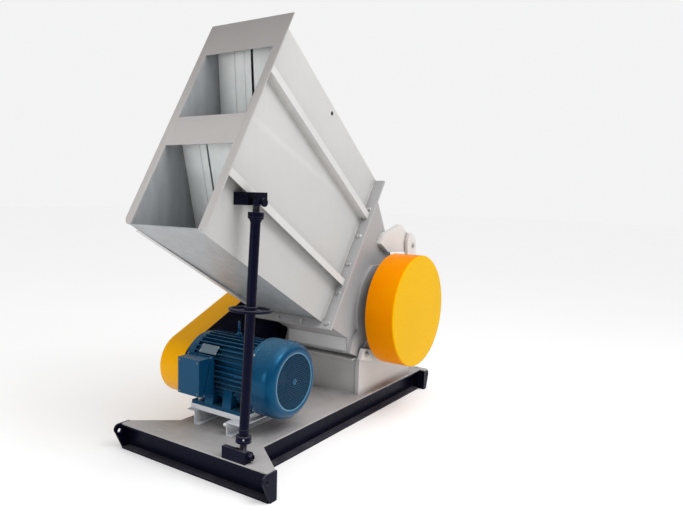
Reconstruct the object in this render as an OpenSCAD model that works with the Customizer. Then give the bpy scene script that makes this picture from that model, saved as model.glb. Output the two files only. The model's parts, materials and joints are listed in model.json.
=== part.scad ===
// Granulator with a tilting inclined feed hopper on its own skid.
// Millimetres. X to the flywheel side, Y to the rear, Z up. The origin is the
// middle of the bounding box at floor level.

/* [Skid] */
// Length of the front cross channel
front_beam_l = 1073; // [1000:1:1100]
// Distance between the outer edges of the two side rails
rail_span = 608; // [580:1:620]
// Height of the skid channels
skid_h = 140; // [120:1:140]
// Thickness of the deck plate
deck_t = 8; // [6:1:8]

/* [Hopper] */
// Middle plane of hopper, chamber and rotor
hop_x = -13.5; // [-15:0.5:-12]
// Outer width of the hopper
hop_w = 476; // [470:1:480]
// Sheet thickness of the hopper
sheet = 5; // [3:0.5:6]
// Width of the mouth frame
mouth_w = 575; // [560:1:580]
// Slope of the mouth frame from horizontal
mouth_a = 60.2; // [59:0.1:61]
// Slope of the hopper floor
floor_a = 29.09; // [28.8:0.01:29.4]
// Slope of the hopper roof
roof_a = 37.85; // [37:0.01:38.5]
// Width of a window in the mouth frame
win_w = 470; // [440:1:470]

/* [Chamber] */
// Height of the rotor axis
rotor_z = 695; // [690:1:700]
// Tip radius of the rotor knives
knife_r = 260; // [250:1:262]
// Rotor shaft radius at the bearings
shaft_r = 45; // [40:0.5:50]
// Running clearance of shafts and pins
run = 0.05; // [0.02:0.01:0.1]
// Thickness of the lower side plates
side_t = 30; // [20:1:30]

/* [Drive] */
// Outer radius of the rotor pulley
pulley_r = 315; // [300:1:320]
// Outer radius of the motor pulley
mpulley_r = 125; // [115:1:126]
// Number of belts
belts = 5; // [3:1:5]
// Radius of the flywheel cover
cover_r = 367; // [350:1:367]
// Shaft height of the motor
motor_h = 186; // [182:1:188]

/* [Jack] */
// Outer radius of the jack tube
tube_r = 24.5; // [24:0.5:26]
// Radius of the jack screws
screw_r = 18.5; // [17:0.5:18.5]
// Radius of the handwheel
wheel_r = 108; // [100:1:110]

/* [Hidden] */
$fn = 48;

grey = [0.80, 0.80, 0.79];
black = [0.07, 0.07, 0.10];
yellow = [0.95, 0.72, 0.10];
blue = [0.13, 0.36, 0.50];
white = [0.90, 0.90, 0.92];
steel = [0.62, 0.63, 0.66];
rubber = [0.10, 0.10, 0.10];
curtain = [0.62, 0.66, 0.64];

// Points and directions are in the Y-Z plane
rot = [558, rotor_z];        // rotor axis
hinge = [919, 1096];         // tilt axis
mot = [-535, 254 + motor_h]; // motor axis
jl = [-959, 177];            // lower jack pin
ju = [-880, 1402];           // upper jack pin
jx = 336.5;                  // jack plane
jack_a = atan2(ju[0] - jl[0], ju[1] - jl[1]);
jack_l = norm(ju - jl);
deck_z = skid_h + deck_t;

wi = hop_w / 2 - sheet;      // half of the inner width
wo = hop_w / 2;
plate_o = wo + 37;           // outer face of the lower side plates
plate_i = plate_o - side_t;

mo_p = [-1154, 1276.6]; mo_d = [cos(mouth_a), sin(mouth_a)];
fl_p = mo_p;            fl_d = [cos(floor_a), -sin(floor_a)];
wl_d = [cos(29.94), -sin(29.94)];                     // lower edge of the side walls
fw_p = [-42, 648];      fw_d = [cos(27.67), -sin(27.67)]; // front wall of the upper housing
rf_p = [-500, 2290];    rf_d = [cos(roof_a), -sin(roof_a)];
fg_a = 56.25;
fg_p = [-149, 657];     fg_d = [cos(fg_a), sin(fg_a)];
re_p = [491, 1419];     re_d = [0.487, -0.8734];
sp_d = [cos(45), sin(45)];

// Line p + s*d moved k to its left side, and the crossing of two lines
function off(p, d, k) = p + k * [-d[1], d[0]];
function ix(p, u, q, v) = let (w = q - p) p + ((w[0] * v[1] - w[1] * v[0]) / (u[0] * v[1] - u[1] * v[0])) * u;
// Band between two offsets of a line, cut by two other lines
function band(p, d, k0, k1, q0, e0, q1, e1) = [
 ix(off(p, d, k0), d, q0, e0), ix(off(p, d, k0), d, q1, e1),
 ix(off(p, d, k1), d, q1, e1), ix(off(p, d, k1), d, q0, e0)];

mb_p = off(mo_p, mo_d, -sheet);  // back of the mouth frame
fr_p = off(fg_p, fg_d, -16);     // back of the two flanges

// Profile in Y-Z, extruded from x0 to x1
module sx(x0, x1) translate([x0, 0, 0]) rotate([90, 0, 90]) linear_extrude(x1 - x0) children();
// Profile in X-Z, extruded from y0 to y1
module sy(y0, y1) translate([0, y1, 0]) rotate([90, 0, 0]) linear_extrude(y1 - y0) children();
// Rod along X
module rx(x0, x1, p, r) translate([x0, p[0], p[1]]) rotate([0, 90, 0]) cylinder(h = x1 - x0, r = r);
// Rod along Z
module rz(z0, z1, x, y, r) translate([x, y, z0]) cylinder(h = z1 - z0, r = r);
module box(a, b) translate(a) cube(b - a);
// Both sides of the middle plane
module sides() { translate([hop_x, 0, 0]) { children(); mirror([1, 0, 0]) children(); } }
// Both sides of the skid
module both() { children(); mirror([1, 0, 0]) children(); }
// Hexagon along X with its centre at p
module hexx(x0, x1, p, af) translate([x0, p[0], p[1]]) rotate([0, 90, 0]) cylinder(h = x1 - x0, r = af / 2 / cos(30), $fn = 6);
// Outline round two circles with common tangents
module loop(c1, r1, c2, r2) {
 d = norm(c2 - c1); u = (c2 - c1) / d; n = [-u[1], u[0]];
 sn = (r1 - r2) / d; cs = sqrt(1 - sn * sn);
 translate(c1) circle(r1);
 translate(c2) circle(r2);
 polygon([c1 + r1 * (sn * u + cs * n), c2 + r2 * (sn * u + cs * n), c2 + r2 * (sn * u - cs * n), c1 + r1 * (sn * u - cs * n)]);
}
// Places the local Z axis on the jack's axis
module on_jack() translate([jx, jl[0], jl[1]]) rotate([-jack_a, 0, 0]) children();
// Places local X, Y in a sloping plane across the hopper
module in_plane(p, a) translate([0, p[0], p[1]]) rotate([a, 0, 0]) children();

// ---------------------------------------------------------------- skid
module front_crossbeam() color(black) {
 h = front_beam_l / 2;
 difference() {
  box([-h + 10, -997, 0], [h - 10, -940, skid_h]);
  box([-h, -1000, 9], [h, -946, skid_h - 9]);
 }
 both() difference() {
  sx(h - 10, h) difference() {
   union() {
    polygon([[-989, 0], [-940, 0], [-940, deck_z], [-1020, deck_z], [-1045, 123], [-1043, 112]]);
    translate([-1017, 120]) circle(28);
   }
   translate([-1080, deck_z]) square([200, 50]);
  }
  rx(h - 20, h + 10, [-1012, 109], 12.5);
 }
}
module rear_crossbeam() color(black) {
 difference() {
  box([-336, 1082, 0], [336, 1139, skid_h]);
  box([-340, 1088, 9], [340, 1142, skid_h - 9]);
 }
 both() difference() {
  sx(336, 346) difference() {
   union() {
    polygon([[1082, 0], [1122, 0], [1152, 95], [1154, 118], [1126, skid_h], [1082, skid_h]]);
    translate([1126, 112]) circle(28);
   }
   translate([1070, skid_h]) square([120, 50]);
  }
  rx(330, 350, [1122, 106], 12.5);
 }
}
module side_rails() color(black) both() difference() {
 box([rail_span / 2 - 58, -940, 0], [rail_span / 2, 1082, skid_h]);
 box([rail_span / 2 - 52, -941, 9], [rail_span / 2 + 1, 1083, skid_h - 9]);
 for (y = [330, 700]) rx(rail_span / 2 - 70, rail_span / 2, [y, 92], 8);
}
module deck_plate() color(grey) {
 h = front_beam_l / 2;
 translate([0, 0, skid_h]) linear_extrude(deck_t) polygon([
  [-h + 10, -997], [h - 10, -997], [h - 10, -941], [304, -763], [304, 1082], [346, 1082], [346, 1139],
  [-346, 1139], [-346, 1082], [-304, 1082], [-304, -763], [-h + 10, -941]]);
}
module motor_slide_rails() color(white) {
 // left rail: its top flange to the left, its foot to the right
 difference() {
  union() {
   box([-206, -755, deck_z], [-200, -300, 224]);
   box([-258, -755, 218], [-206, -300, 224]);
   box([-200, -755, deck_z], [-165, -300, deck_z + 6]);
  }
  for (y = [-600, -470]) translate([-232, y, 200]) linear_extrude(40) slot2(9, 70);
 }
 // right rail, its top flange to the right
 difference() {
  union() {
   box([54, -775, deck_z], [60, -300, 224]);
   box([60, -775, 218], [165, -300, 224]);
   box([60, -775, deck_z], [95, -300, deck_z + 6]);
  }
  for (y = [-600, -470]) translate([86, y, 200]) linear_extrude(40) slot2(9, 70);
 }
 // lug for the screw that sets the belt tension
 difference() {
  sx(60, 66) polygon([[-775, 218], [-775, 196], [-740, 176], [-705, 196], [-705, 218]]);
  rx(55, 70, [-740, 200], 5);
 }
}
// Slot along Y: radius and distance between its end centres
module slot2(r, l) { translate([0, -l / 2]) circle(r); translate([0, l / 2]) circle(r); translate([-r, -l / 2]) square([2 * r, l]); }

// ---------------------------------------------------------------- lower housing
module lower_side_plates() color(grey) difference() {
 sides() sx(plate_i, plate_o) difference() {
  union() {
   polygon([[257, deck_z], [257, 376], [272, 407], [878, 1013], [985, 1013], [985, deck_z]]);
   translate([275, 372]) circle(18);
  }
  translate(rot) circle(68);
  translate([0, 137 - 2]) polygon([[200, 200], [900, 900], [200, 900]]);
 }
 // outlet on the left
 rx(hop_x - plate_o - 1, hop_x - plate_i + 1, [558, 240], 71.5);
}
module lower_front_wall() color(grey) translate([hop_x, 0, 0]) {
 box([-plate_i, 267, deck_z], [plate_i, 271.5, 384]);
 box([-plate_i, 215, 384], [plate_i, 271.5, 394]);
}
module lower_rear_wall() color(grey) translate([hop_x, 0, 0])
 sx(-plate_i, plate_i) polygon([[930, deck_z], [938, deck_z], [938, 1000], [930, 1000], [893, 986], [893, 978], [930, 992]]);
module bed_knife_seats() color(grey) translate([hop_x, 0, 0]) sx(-plate_i, plate_i) translate(rot) rotate(45) {
 translate([-429, -90]) square([137, 66]);
 translate([292, -90]) square([137, 66]);
}
module bed_knives() color(steel) translate([hop_x, 0, 0]) sx(-228, 228) translate(rot) rotate(45) {
 translate([-400, -23.5]) square([400 - knife_r - 2, 20]);
 translate([knife_r + 2, -23.5]) square([400 - knife_r - 2, 20]);
}
module screen() color(steel) translate([hop_x, 0, 0]) difference() {
 sx(-plate_i + 1, plate_i - 1) difference() {
  translate(rot) circle(276);
  translate(rot) circle(268);
  translate(rot) rotate(45) translate([-400, -27]) square([800, 800]);
 }
 for (i = [0:8], x = [-180:90:180]) translate([x + (i % 2) * 30 - 15, rot[0], rot[1]])
  rotate([-135 + i * 22.5 - 45, 0, 0]) translate([0, 0, 200]) cylinder(h = 100, r = 16);
}
module discharge_spigot() color(grey) difference() {
 union() {
  rx(-520, hop_x - plate_o - 8, [558, 240], 75);
  box([hop_x - plate_o - 8, 468, 150], [hop_x - plate_o, 648, 330]);
 }
 rx(-530, hop_x - plate_o + 1, [558, 240], 71.5);
 for (y = [485, 631], z = [167, 313]) rx(-310, -280, [y, z], 5.5);
}
module hinge_posts() color(grey) sides() difference() {
 sx(plate_o, plate_o + 25) polygon([[858, 860], [835, 1120], [861, 1187], [900, 1187], [972, 1130], [976, 1040], [976, 860]]);
 rx(plate_o - 1, plate_o + 30, hinge, 20);
}
module hinge_pins() color(steel) sides() {
 rx(wo + 2, plate_o + 25, hinge, 20);
 hexx(plate_o + 25, plate_o + 34, hinge, 24);
}
module bearing_housings() color(grey) sides() difference() {
 union() {
  sx(plate_o, plate_o + 24) translate(rot) rotate(45) difference() {
   translate([-118, -118]) square(236);
   for (a = [45:90:315]) rotate(a) translate([135, 0]) circle(9);
  }
  rx(plate_o + 24, plate_o + 60, rot, 88);
 }
 rx(plate_o - 1, plate_o + 61, rot, shaft_r + run);
}

// ---------------------------------------------------------------- guards
gl = [-532, 410];
module guard_back_plate() color(black) sx(-353.5, -350) difference() {
 loop(gl, 182, rot, 368);
 translate(rot) circle(95);
 translate(mot) circle(60);
 translate(mot + [50, 0]) circle(60);
 translate(mot + [0, -60]) square([50, 120]);
}
module belt_guard() color(yellow) {
 sx(-532.5, -529.5) loop(gl, 182, rot, 368);
 sx(-529.5, -353.5) difference() {
  loop(gl, 182, rot, 368);
  loop(gl, 179, rot, 365);
 }
}
module flywheel_cover() color(yellow) {
 difference() {
  rx(331.5, 526.5, rot + [0, 2], cover_r);
  rx(331, 523.5, rot + [0, 2], cover_r - 3);
 }
 // tab with a hole under the back edge
 difference() {
  sx(331.5, 334.5) polygon([[480, 349], [500, 338], [580, 330], [610, 345], [610, 370], [480, 370]]);
  rx(331, 523.5, rot + [0, 2], cover_r - 3);
  rx(325, 340, [545, 338.5], 3.5);
 }
}
module cover_brackets() color(grey) {
 // plate with a bolt at the lower front of the right side plate
 difference() {
  sx(248.5 + 13, 287) polygon([[263, 461], [378, 434], [379, 358], [232, 393]]);
  rx(255, 295, [301, 418], 9);
 }
 hexx(287, 298, [301, 418], 27);
 rx(261.5, 287, [301, 418], 8.9);
 // arms that carry the flywheel cover
 difference() {
  for (a = [20, 330, 285]) translate([261.5, rot[0], rot[1]]) rotate([a, 0, 0]) {
   box([0, 250, -25], [8, 352, 25]);
   box([8, 344, -25], [90, 352, 25]);
  }
  translate([255, 0, 0]) sx(0, 300) translate([0, 200]) polygon([[0, 0], [0, -200], [1000, -200], [1000, -50]]);
 }
 // arms that carry the belt guard
 for (p = [[300, 700], [760, 480], [480, 420]]) difference() {
  rx(-350, hop_x - plate_o, p, 16);
  rx(-351, hop_x - plate_o + 1, p, 6);
 }
}
module belt_profile(r1, r2) difference() { loop(mot, r1, rot, r2); loop(mot, r1 - 11, rot, r2 - 11); }
module drive_belts() color(rubber) for (i = [0:belts - 1])
 sx(-435 - (belts - 1) * 9.5 + i * 19 - 6, -435 - (belts - 1) * 9.5 + i * 19 + 6) belt_profile(mpulley_r + 2, pulley_r + 2);

// ---------------------------------------------------------------- hopper
module hopper_side_walls() color(grey) sides() sx(wi, wo) difference() {
 polygon([ix(fl_p, wl_d, mb_p, mo_d), ix(fl_p, wl_d, fg_p, fg_d), ix(rf_p, rf_d, fg_p, fg_d), ix(rf_p, rf_d, mb_p, mo_d)]);
 translate([-81, 1915]) circle(12.5);
}
module hopper_floor() color(grey) translate([hop_x, 0, 0]) sx(-wi, wi)
 polygon(band(fl_p, fl_d, 0, sheet, mo_p, mo_d, fg_p, fg_d));
module hopper_roof() color(grey) translate([hop_x, 0, 0]) sx(-wi, wi)
 polygon(band(rf_p, rf_d, -sheet, 0, mb_p, mo_d, fg_p, fg_d));
module mouth_frame() color(grey) translate([hop_x, 0, 0]) in_plane(mo_p, mouth_a) translate([0, 0, -sheet]) linear_extrude(sheet) difference() {
 union() {
  translate([-mouth_w / 2, 45]) square([mouth_w, 1213.5]);
  translate([-mouth_w / 2 + 45, 0]) square([mouth_w - 90, 50]);
  for (s = [-1, 1]) translate([s * (mouth_w / 2 - 45), 45]) circle(45);
 }
 translate([-win_w / 2, -10]) square([win_w, 476]);
 translate([-win_w / 2, 640]) square([win_w, 409]);
}
module rib(p, d, lo, hi, up) {
 sx(wo, wo + 50) polygon(band(p, d, up ? 0 : -5, up ? 5 : 0, mb_p, mo_d, fg_p, fg_d));
 sx(wo + 45, wo + 50) polygon(band(p, d, lo, hi, mb_p, mo_d, fg_p, fg_d));
}
module hopper_ribs() color(grey) {
 sides() {
  rib([-986, 1563], [993, -613] / norm([993, -613]), -42, -5, false);
  rib([-710, 2043], [962, -725] / norm([962, -725]), 5, 42, true);
 }
 translate([hop_x, 0, 0]) sx(-wo - 36, -wo)
  polygon(band(fl_p, wl_d, 0, 5, [-1085, 0], [0, 1], off(fg_p, fg_d, 40), fg_d));
}
module flange2d() difference() {
 union() {
  translate([-310, 0]) square([620, 1065.6]);
  translate([-wo, 1000]) square([2 * wo, 76]);
 }
 translate([-wi, 57]) square([2 * wi, 973]);
 for (b = bolt_xy) translate(b) circle(8.75);
}
bolt_xy = [for (s = [-273, 273], i = [0:4]) [s, 37 + i * 202], [-91, 22], [91, 22]];
module hopper_flange() color(grey) translate([hop_x, 0, 0]) in_plane(fg_p, fg_a) translate([0, 0, -8]) linear_extrude(8) flange2d();
module housing_flange() color(grey) translate([hop_x, 0, 0]) in_plane(fg_p, fg_a) translate([0, 0, -16]) linear_extrude(8) flange2d();
module flange_bolts() color(steel) translate([hop_x, 0, 0]) in_plane(fg_p, fg_a) for (b = bolt_xy) translate([b[0], b[1], 0]) {
 cylinder(h = 10, r = 13.8, $fn = 6);
 translate([0, 0, -16]) cylinder(h = 16, r = 8);
 translate([0, 0, -36]) cylinder(h = 20, r = 8);
 translate([0, 0, -29]) cylinder(h = 13, r = 13.8, $fn = 6);
}
module curtain_rails() color(steel) translate([hop_x, 0, 0]) for (p = [up_p, lo_p]) rx(-wi, wi, p, 8);

// ---------------------------------------------------------------- upper housing
module split_up() translate([0, 137 + 2]) polygon([[0, 0], [1400, 1400], [0, 1400]]);
module upper_side_walls() color(grey) sides() {
 sx(wi, wo) difference() {
  polygon([ix(fw_p, fw_d, fr_p, fg_d), ix(fw_p, fw_d, [160, 0], [0, 1]), [160, 447], [262, 403],
   ix(re_p, re_d, [0, 139], sp_d), ix(re_p, re_d, fr_p, fg_d)]);
  translate(rot) circle(84);
 }
 sx(wo, wo + 24) difference() {
  intersection() {
   union() {
    translate(rot) circle(320);
    polygon([[300, 600], [286, 595], [184, 506], [160, 447], [262, 403], [560, 700]]);
   }
   split_up();
   polygon([[0, 0], [0, 985], [600, 985], [900, 700]]);
  }
  translate(rot) circle(84);
 }
}
module upper_front_wall() color(grey) translate([hop_x, 0, 0]) sx(-wi, wi)
 polygon(band(fw_p, fw_d, 0, 8, fr_p, fg_d, [0, 139], sp_d));
module upper_rear_wall() color(grey) translate([hop_x, 0, 0]) sx(-wi, wi)
 polygon(band(re_p, re_d, -8, 0, fr_p, fg_d, [0, 139], sp_d));
module front_beam() color(grey) translate([hop_x, 0, 0]) sx(-wi, wi - 4)
 polygon([ix(fw_p, fw_d, [168, 0], [0, 1]), [168, 455], [222, 455], [264, 405], [312, 453], ix(fw_p, fw_d, [312, 0], [0, 1])]);
module hinge_ears() color(grey) sides() difference() {
 sx(wo, wo + 34.5) {
  polygon([[503, 1127], [551, 1190], [781, 1247], [869, 1193], [950, 1135], [919, 1096], [919, 1047], [785, 1056], [603, 1065]]);
  translate(hinge) circle(50);
 }
 rx(wo - 1, wo + 40, hinge, 20 + run);
}
module jack_upper_bracket() color(black) difference() {
 box([hop_x + wo, -920, 1387], [378, -850, 1449]);
 box([316, -925, 1380], [357, -845, 1440]);
 // the cheeks have slots across the jack: the link's free end
 for (k = [-8.5, 10.9]) rx(286, 380, ju + [k, -1.5], 13);
 box([286, ju[0] - 8.5, ju[1] - 14.5], [380, ju[0] + 10.9, ju[1] + 11.5]);
 // room for the leg of the rib
 sx(268, 276) polygon(band([-986, 1563], [993, -613] / norm([993, -613]), -43, 0, mb_p, mo_d, fg_p, fg_d));
}

// ---------------------------------------------------------------- rotor
module rotor_shaft() color(steel) {
 rx(-490, 500, rot, shaft_r);
 rx(hop_x - 232, hop_x + 232, rot, 60);
}
module rotor_body() color(steel) translate([hop_x, 0, 0]) difference() {
 sx(-226, 226) {
  translate(rot) circle(120);
  for (a = [10:120:250]) translate(rot) rotate(a) translate([0, -45]) square([232, 70]);
 }
 rx(-230, 230, rot, 60);
}
module rotor_knives() color(steel) translate([hop_x, 0, 0]) for (a = [10:120:250], x = [-226, 1])
 sx(x, x + 225) translate(rot) rotate(a) translate([165, 25]) polygon([[0, 0], [0, 20], [knife_r - 171, 20], [knife_r - 167, 0]]);
module flywheel() color(steel) difference() {
 union() {
  rx(400, 480, rot, 315);
  rx(370, 500, rot, 85);
 }
 for (x = [399, 452]) difference() {
  rx(x, x + 29, rot, 265);
  rx(x - 1, x + 30, rot, 85);
 }
 rx(369, 501, rot, shaft_r);
 for (a = [0:60:300]) translate([0, rot[0], rot[1]]) rotate([a, 0, 0]) rx(420, 460, [175, 0], 42);
}
module pulley(c, r, w) difference() {
 rx(-435 - w / 2, -435 + w / 2, c, r);
 for (i = [0:belts - 1]) translate([-435 - (belts - 1) * 9.5 + i * 19, c[0], c[1]]) rotate([0, 90, 0])
  rotate_extrude() polygon([[r - 14, -6.2], [r + 1, -8.2], [r + 1, 8.2], [r - 14, 6.2]]);
}
module rotor_pulley() color([0.25, 0.26, 0.28]) difference() {
 union() {
  pulley(rot, pulley_r, 98);
  rx(-490, -384, rot, 90);
 }
 difference() { rx(-490, -452, rot, 270); rx(-491, -450, rot, 90); }
 difference() { rx(-418, -384, rot, 270); rx(-419, -383, rot, 90); }
 rx(-500, -380, rot, shaft_r);
}

// ---------------------------------------------------------------- motor
mx = -331.5; // shoulder of the shaft
foot_x = [-214, 106.5];
module motor_frame() color(blue) difference() {
 union() {
  rx(mx + 30, 150, mot, 172);
  rx(mx + 12, mx + 62, mot, 186);
  rx(mx, mx + 12, mot, 120);
  rx(126, 150, mot, 190);
  for (a = [0:9:351]) translate([0, mot[0], mot[1]]) rotate([a, 0, 0]) box([mx + 58, 160, -3], [130, 196, 3]);
  // feet
  for (s = [-1, 1]) {
   sx(foot_x[0] - 34, foot_x[1] + 30) polygon([mot + [s * 90, -motor_h + 20], mot + [s * 90, -motor_h], mot + [s * 195, -motor_h], mot + [s * 195, -motor_h + 20]]);
   for (x = [-152, -20]) sx(x, x + 62) polygon([mot + [s * 90, -120], mot + [s * 90, -motor_h], mot + [s * 194, -motor_h],
    mot + [s * 194, -motor_h + 20], mot + [s * 180, -70], mot + [s * 165, -50]]);
  }
  // seat of the terminal box
  box([-220, mot[0] - 198, 372], [-90, mot[0] - 150, 508]);
  // lifting eye
  rz(mot[1] + 160, mot[1] + 206, -71, mot[0], 16);
  rz(mot[1] + 200, mot[1] + 226, -71, mot[0], 8);
  translate([-71, mot[0], mot[1] + 250]) rotate([0, 0, 42]) rotate([0, 90, 0]) rotate_extrude() translate([23, 0]) circle(7);
 }
 rx(mx + 50, 130, mot, 150);
 box([mx - 1, mot[0] - 89.9, 200], [151, mot[0] + 89.9, mot[1] - motor_h + 10.5]);
 rx(mx - 1, 151, mot, 27.5 + run);
 for (x = foot_x, s = [-1, 1]) rz(230, 290, x, mot[0] + s * 159, 9.25);
}
module terminal_box() color(blue) difference() {
 union() {
  // lid, its sloping flange, and the box behind it
  sx(-236, -76) polygon([[-847, 348], [-847, 548], [-733, 548], [-733, 348]]);
  sx(-248, -64) polygon([tb_p, tb_p + 224 * tb_d, tb_p + 224 * tb_d + [11, -2.8], tb_p + [11, -2.8]]);
  translate([-155, -780, 350]) rotate([180, 0, 0]) cylinder(h = 16, r = 22);
  // cable gland on the left side
  rx(-270, -230, [-764, 410], 18);
 }
 box([-226, -837, 358], [-86, mot[0] - 208, 538]);
 rx(-275, -220, [-764, 410], 11);
}
tb_p = [-816, 342]; tb_d = [0.2504, 0.9681];
module fan_cowl() color(blue) difference() {
 union() {
  rx(150, 268, mot, 213);
  translate([268, mot[0], mot[1]]) rotate([0, 90, 0]) rotate_extrude()
   polygon([[0, 0], [213, 0], [210, 20], [200, 38], [186, 51], [166, 60], [0, 62]]);
 }
 rx(149, 262, mot, 210);
 rx(261, 300, mot, 165);
 for (i = [0:5], j = [0:5 + 5 * i]) translate([0, mot[0], mot[1]]) rotate([j * 360 / (6 + 5 * i), 0, 0]) rx(290, 340, [48 + i * 19, 0], 6.5);
}
module motor_base_plate() color(white) {
 difference() {
  box([-257, -729, 224], [137, -340, mot[1] - motor_h]);
  for (x = foot_x, s = [-1, 1]) rz(210, 260, x, mot[0] + s * 159, 9.25);
  for (x = [-232, 86], y = [-600, -470]) rz(210, 260, x, y, 8.5);
 }
 // foot bolts and rail bolts
 for (x = foot_x, s = [-1, 1]) translate([x, mot[0] + s * 159, 0]) {
  translate([0, 0, 274]) cylinder(h = 12, r = 15.5, $fn = 6);
  rz(226, 274, 0, 0, 9);
 }
 for (x = [-232, 86], y = [-600, -470]) translate([x, y, 0]) {
  translate([0, 0, 254]) cylinder(h = 9, r = 13.8, $fn = 6);
  rz(199, 254, 0, 0, 8);
  translate([0, 0, 203]) cylinder(h = 13, r = 13.8, $fn = 6);
 }
}
module motor_shaft() color(steel) {
 rx(mx - 110, 250, mot, 27.5);
 rx(mx + 90, 90, mot, 99);
}
module motor_pulley() color([0.25, 0.26, 0.28]) difference() {
 pulley(mot, mpulley_r, 98);
 rx(-500, -380, mot, 27.5);
}
module motor_fan() color(rubber) difference() {
 union() {
  rx(190, 245, mot, 45);
  rx(190, 196, mot, 190);
  for (a = [0:45:315]) translate([0, mot[0], mot[1]]) rotate([a, 0, 0]) box([196, 40, -3], [245, 188, 3]);
 }
 rx(180, 260, mot, 27.5);
}

// ---------------------------------------------------------------- jack
module jack_lower_bracket() color(black) difference() {
 union() {
  difference() {
   box([232.5, -997, deck_z], [382.5, -969, 209]);
   box([315, -980, deck_z - 1], [358, -960, 215]);
  }
  for (x = [290, 357.5]) sx(x, x + 25) {
   translate(jl) circle(26);
   translate([-980, jl[1] - 26]) square([21, 52]);
  }
 }
 rx(285, 390, jl, 10);
}
module jack_lower_pin() color(black) {
 rx(286, 394, jl, 10);
 difference() { rx(382.5, 386, jl, 20); rx(382, 387, jl, 10); }
 difference() { hexx(386, 400, jl, 30); rx(385, 401, jl, 10); }
}
module jack_lower_screw() color(black) difference() {
 union() {
  on_jack() cylinder(h = 560, r = screw_r);
  rx(jx - 18.5, jx + 18.5, jl, 19.5);
 }
 rx(jx - 22, jx + 22, jl, 10 + run);
}
module jack_collar() color(black) on_jack() difference() {
 translate([0, 0, 62]) cylinder(h = 34, r = 39);
 translate([0, 0, 60]) cylinder(h = 40, r = screw_r + run);
}
module jack_tube() color(black) on_jack() {
 difference() {
  translate([0, 0, 96]) cylinder(h = 1052, r = tube_r);
  translate([0, 0, 95]) cylinder(h = 1060, r = 20.5);
 }
 difference() {
  translate([0, 0, 1148]) cylinder(h = 32, r = 39);
  translate([0, 0, 1147]) cylinder(h = 40, r = screw_r + run);
 }
}
module jack_handwheel() color(black) on_jack() translate([0, 0, 711]) {
 rotate_extrude() translate([wheel_r - 8, 0]) circle(8);
 difference() {
  union() {
   translate([0, 0, -16]) cylinder(h = 32, r = 34);
   for (a = [90, 210, 330]) rotate(a) translate([30, -8, -4]) cube([wheel_r - 40, 16, 8]);
  }
  translate([0, 0, -20]) cylinder(h = 40, r = tube_r);
 }
}
module jack_upper_screw() color(black) difference() {
 on_jack() translate([0, 0, 670]) cylinder(h = jack_l - 670 + 18, r = screw_r);
 rx(jx - 20, jx + 20, ju, 10);
}
module jack_upper_pin() color(black) {
 rx(289, 379, ju, 10);
 rx(379, 390, ju, 21);
}

// ---------------------------------------------------------------- curtains
up_p = [-548, 2291];
lo_p = [-832, 1803];
up_a = 4.5;
lo_a = 12.7;
module strip(p, a, x0, x1, l) translate([0, p[0], p[1]]) rotate([a, 0, 0]) difference() {
 union() {
  box([x0, -4, -l], [x1, 4, -9]);
  rx(x0, x1, [0, 0], 12);
 }
 rx(x0 - 1, x1 + 1, [0, 0], 8 + run);
}
module upper_curtain_left() color(curtain) strip(up_p, up_a, -244, -53, 600);
module upper_curtain_middle() color(curtain) strip(up_p, up_a, -51, -6, 600);
module upper_curtain_right() color(curtain) strip(up_p, up_a, 12, 217, 600);
module lower_curtain_left() color(curtain) strip(lo_p, lo_a, -244, -72, 814);
module lower_curtain_right() color(curtain) strip(lo_p, lo_a, -60, 217, 814);

front_crossbeam();
rear_crossbeam();
side_rails();
deck_plate();
motor_slide_rails();
lower_side_plates();
lower_front_wall();
lower_rear_wall();
bed_knife_seats();
bed_knives();
screen();
discharge_spigot();
hinge_posts();
hinge_pins();
bearing_housings();
guard_back_plate();
belt_guard();
flywheel_cover();
cover_brackets();
drive_belts();
jack_lower_bracket();
jack_lower_pin();
hopper_floor();
hopper_roof();
hopper_side_walls();
mouth_frame();
hopper_ribs();
hopper_flange();
housing_flange();
flange_bolts();
upper_side_walls();
upper_front_wall();
upper_rear_wall();
front_beam();
hinge_ears();
jack_upper_bracket();
jack_upper_pin();
curtain_rails();
rotor_shaft();
rotor_body();
rotor_knives();
flywheel();
rotor_pulley();
motor_frame();
terminal_box();
fan_cowl();
motor_base_plate();
motor_shaft();
motor_pulley();
motor_fan();
jack_lower_screw();
jack_collar();
jack_tube();
jack_handwheel();
jack_upper_screw();
upper_curtain_left();
upper_curtain_middle();
upper_curtain_right();
lower_curtain_left();
lower_curtain_right();
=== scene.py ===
import bpy
import bmesh
import json
import math
import random
from mathutils import Matrix, Vector


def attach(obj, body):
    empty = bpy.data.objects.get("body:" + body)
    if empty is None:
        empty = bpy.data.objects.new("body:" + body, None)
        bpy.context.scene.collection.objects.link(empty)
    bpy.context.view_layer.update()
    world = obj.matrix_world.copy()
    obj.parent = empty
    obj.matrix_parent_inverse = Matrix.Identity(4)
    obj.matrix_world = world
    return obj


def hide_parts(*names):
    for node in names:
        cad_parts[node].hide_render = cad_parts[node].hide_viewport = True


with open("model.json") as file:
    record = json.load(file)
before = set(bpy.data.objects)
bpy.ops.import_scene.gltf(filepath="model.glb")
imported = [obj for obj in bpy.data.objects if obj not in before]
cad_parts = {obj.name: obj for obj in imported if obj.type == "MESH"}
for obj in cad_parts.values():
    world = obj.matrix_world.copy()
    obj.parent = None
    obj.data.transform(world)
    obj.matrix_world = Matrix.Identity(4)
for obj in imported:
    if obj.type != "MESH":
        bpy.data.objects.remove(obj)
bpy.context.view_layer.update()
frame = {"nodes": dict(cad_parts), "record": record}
NODES = frame["nodes"]
BODY = {n: b for b, ns in frame["record"]["behaviour"]["bodies"].items() for n in ns}
SLOT = {s["node"]: s["material_slot"] for s in frame["record"]["subparts"]}
random.seed(7)

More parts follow.
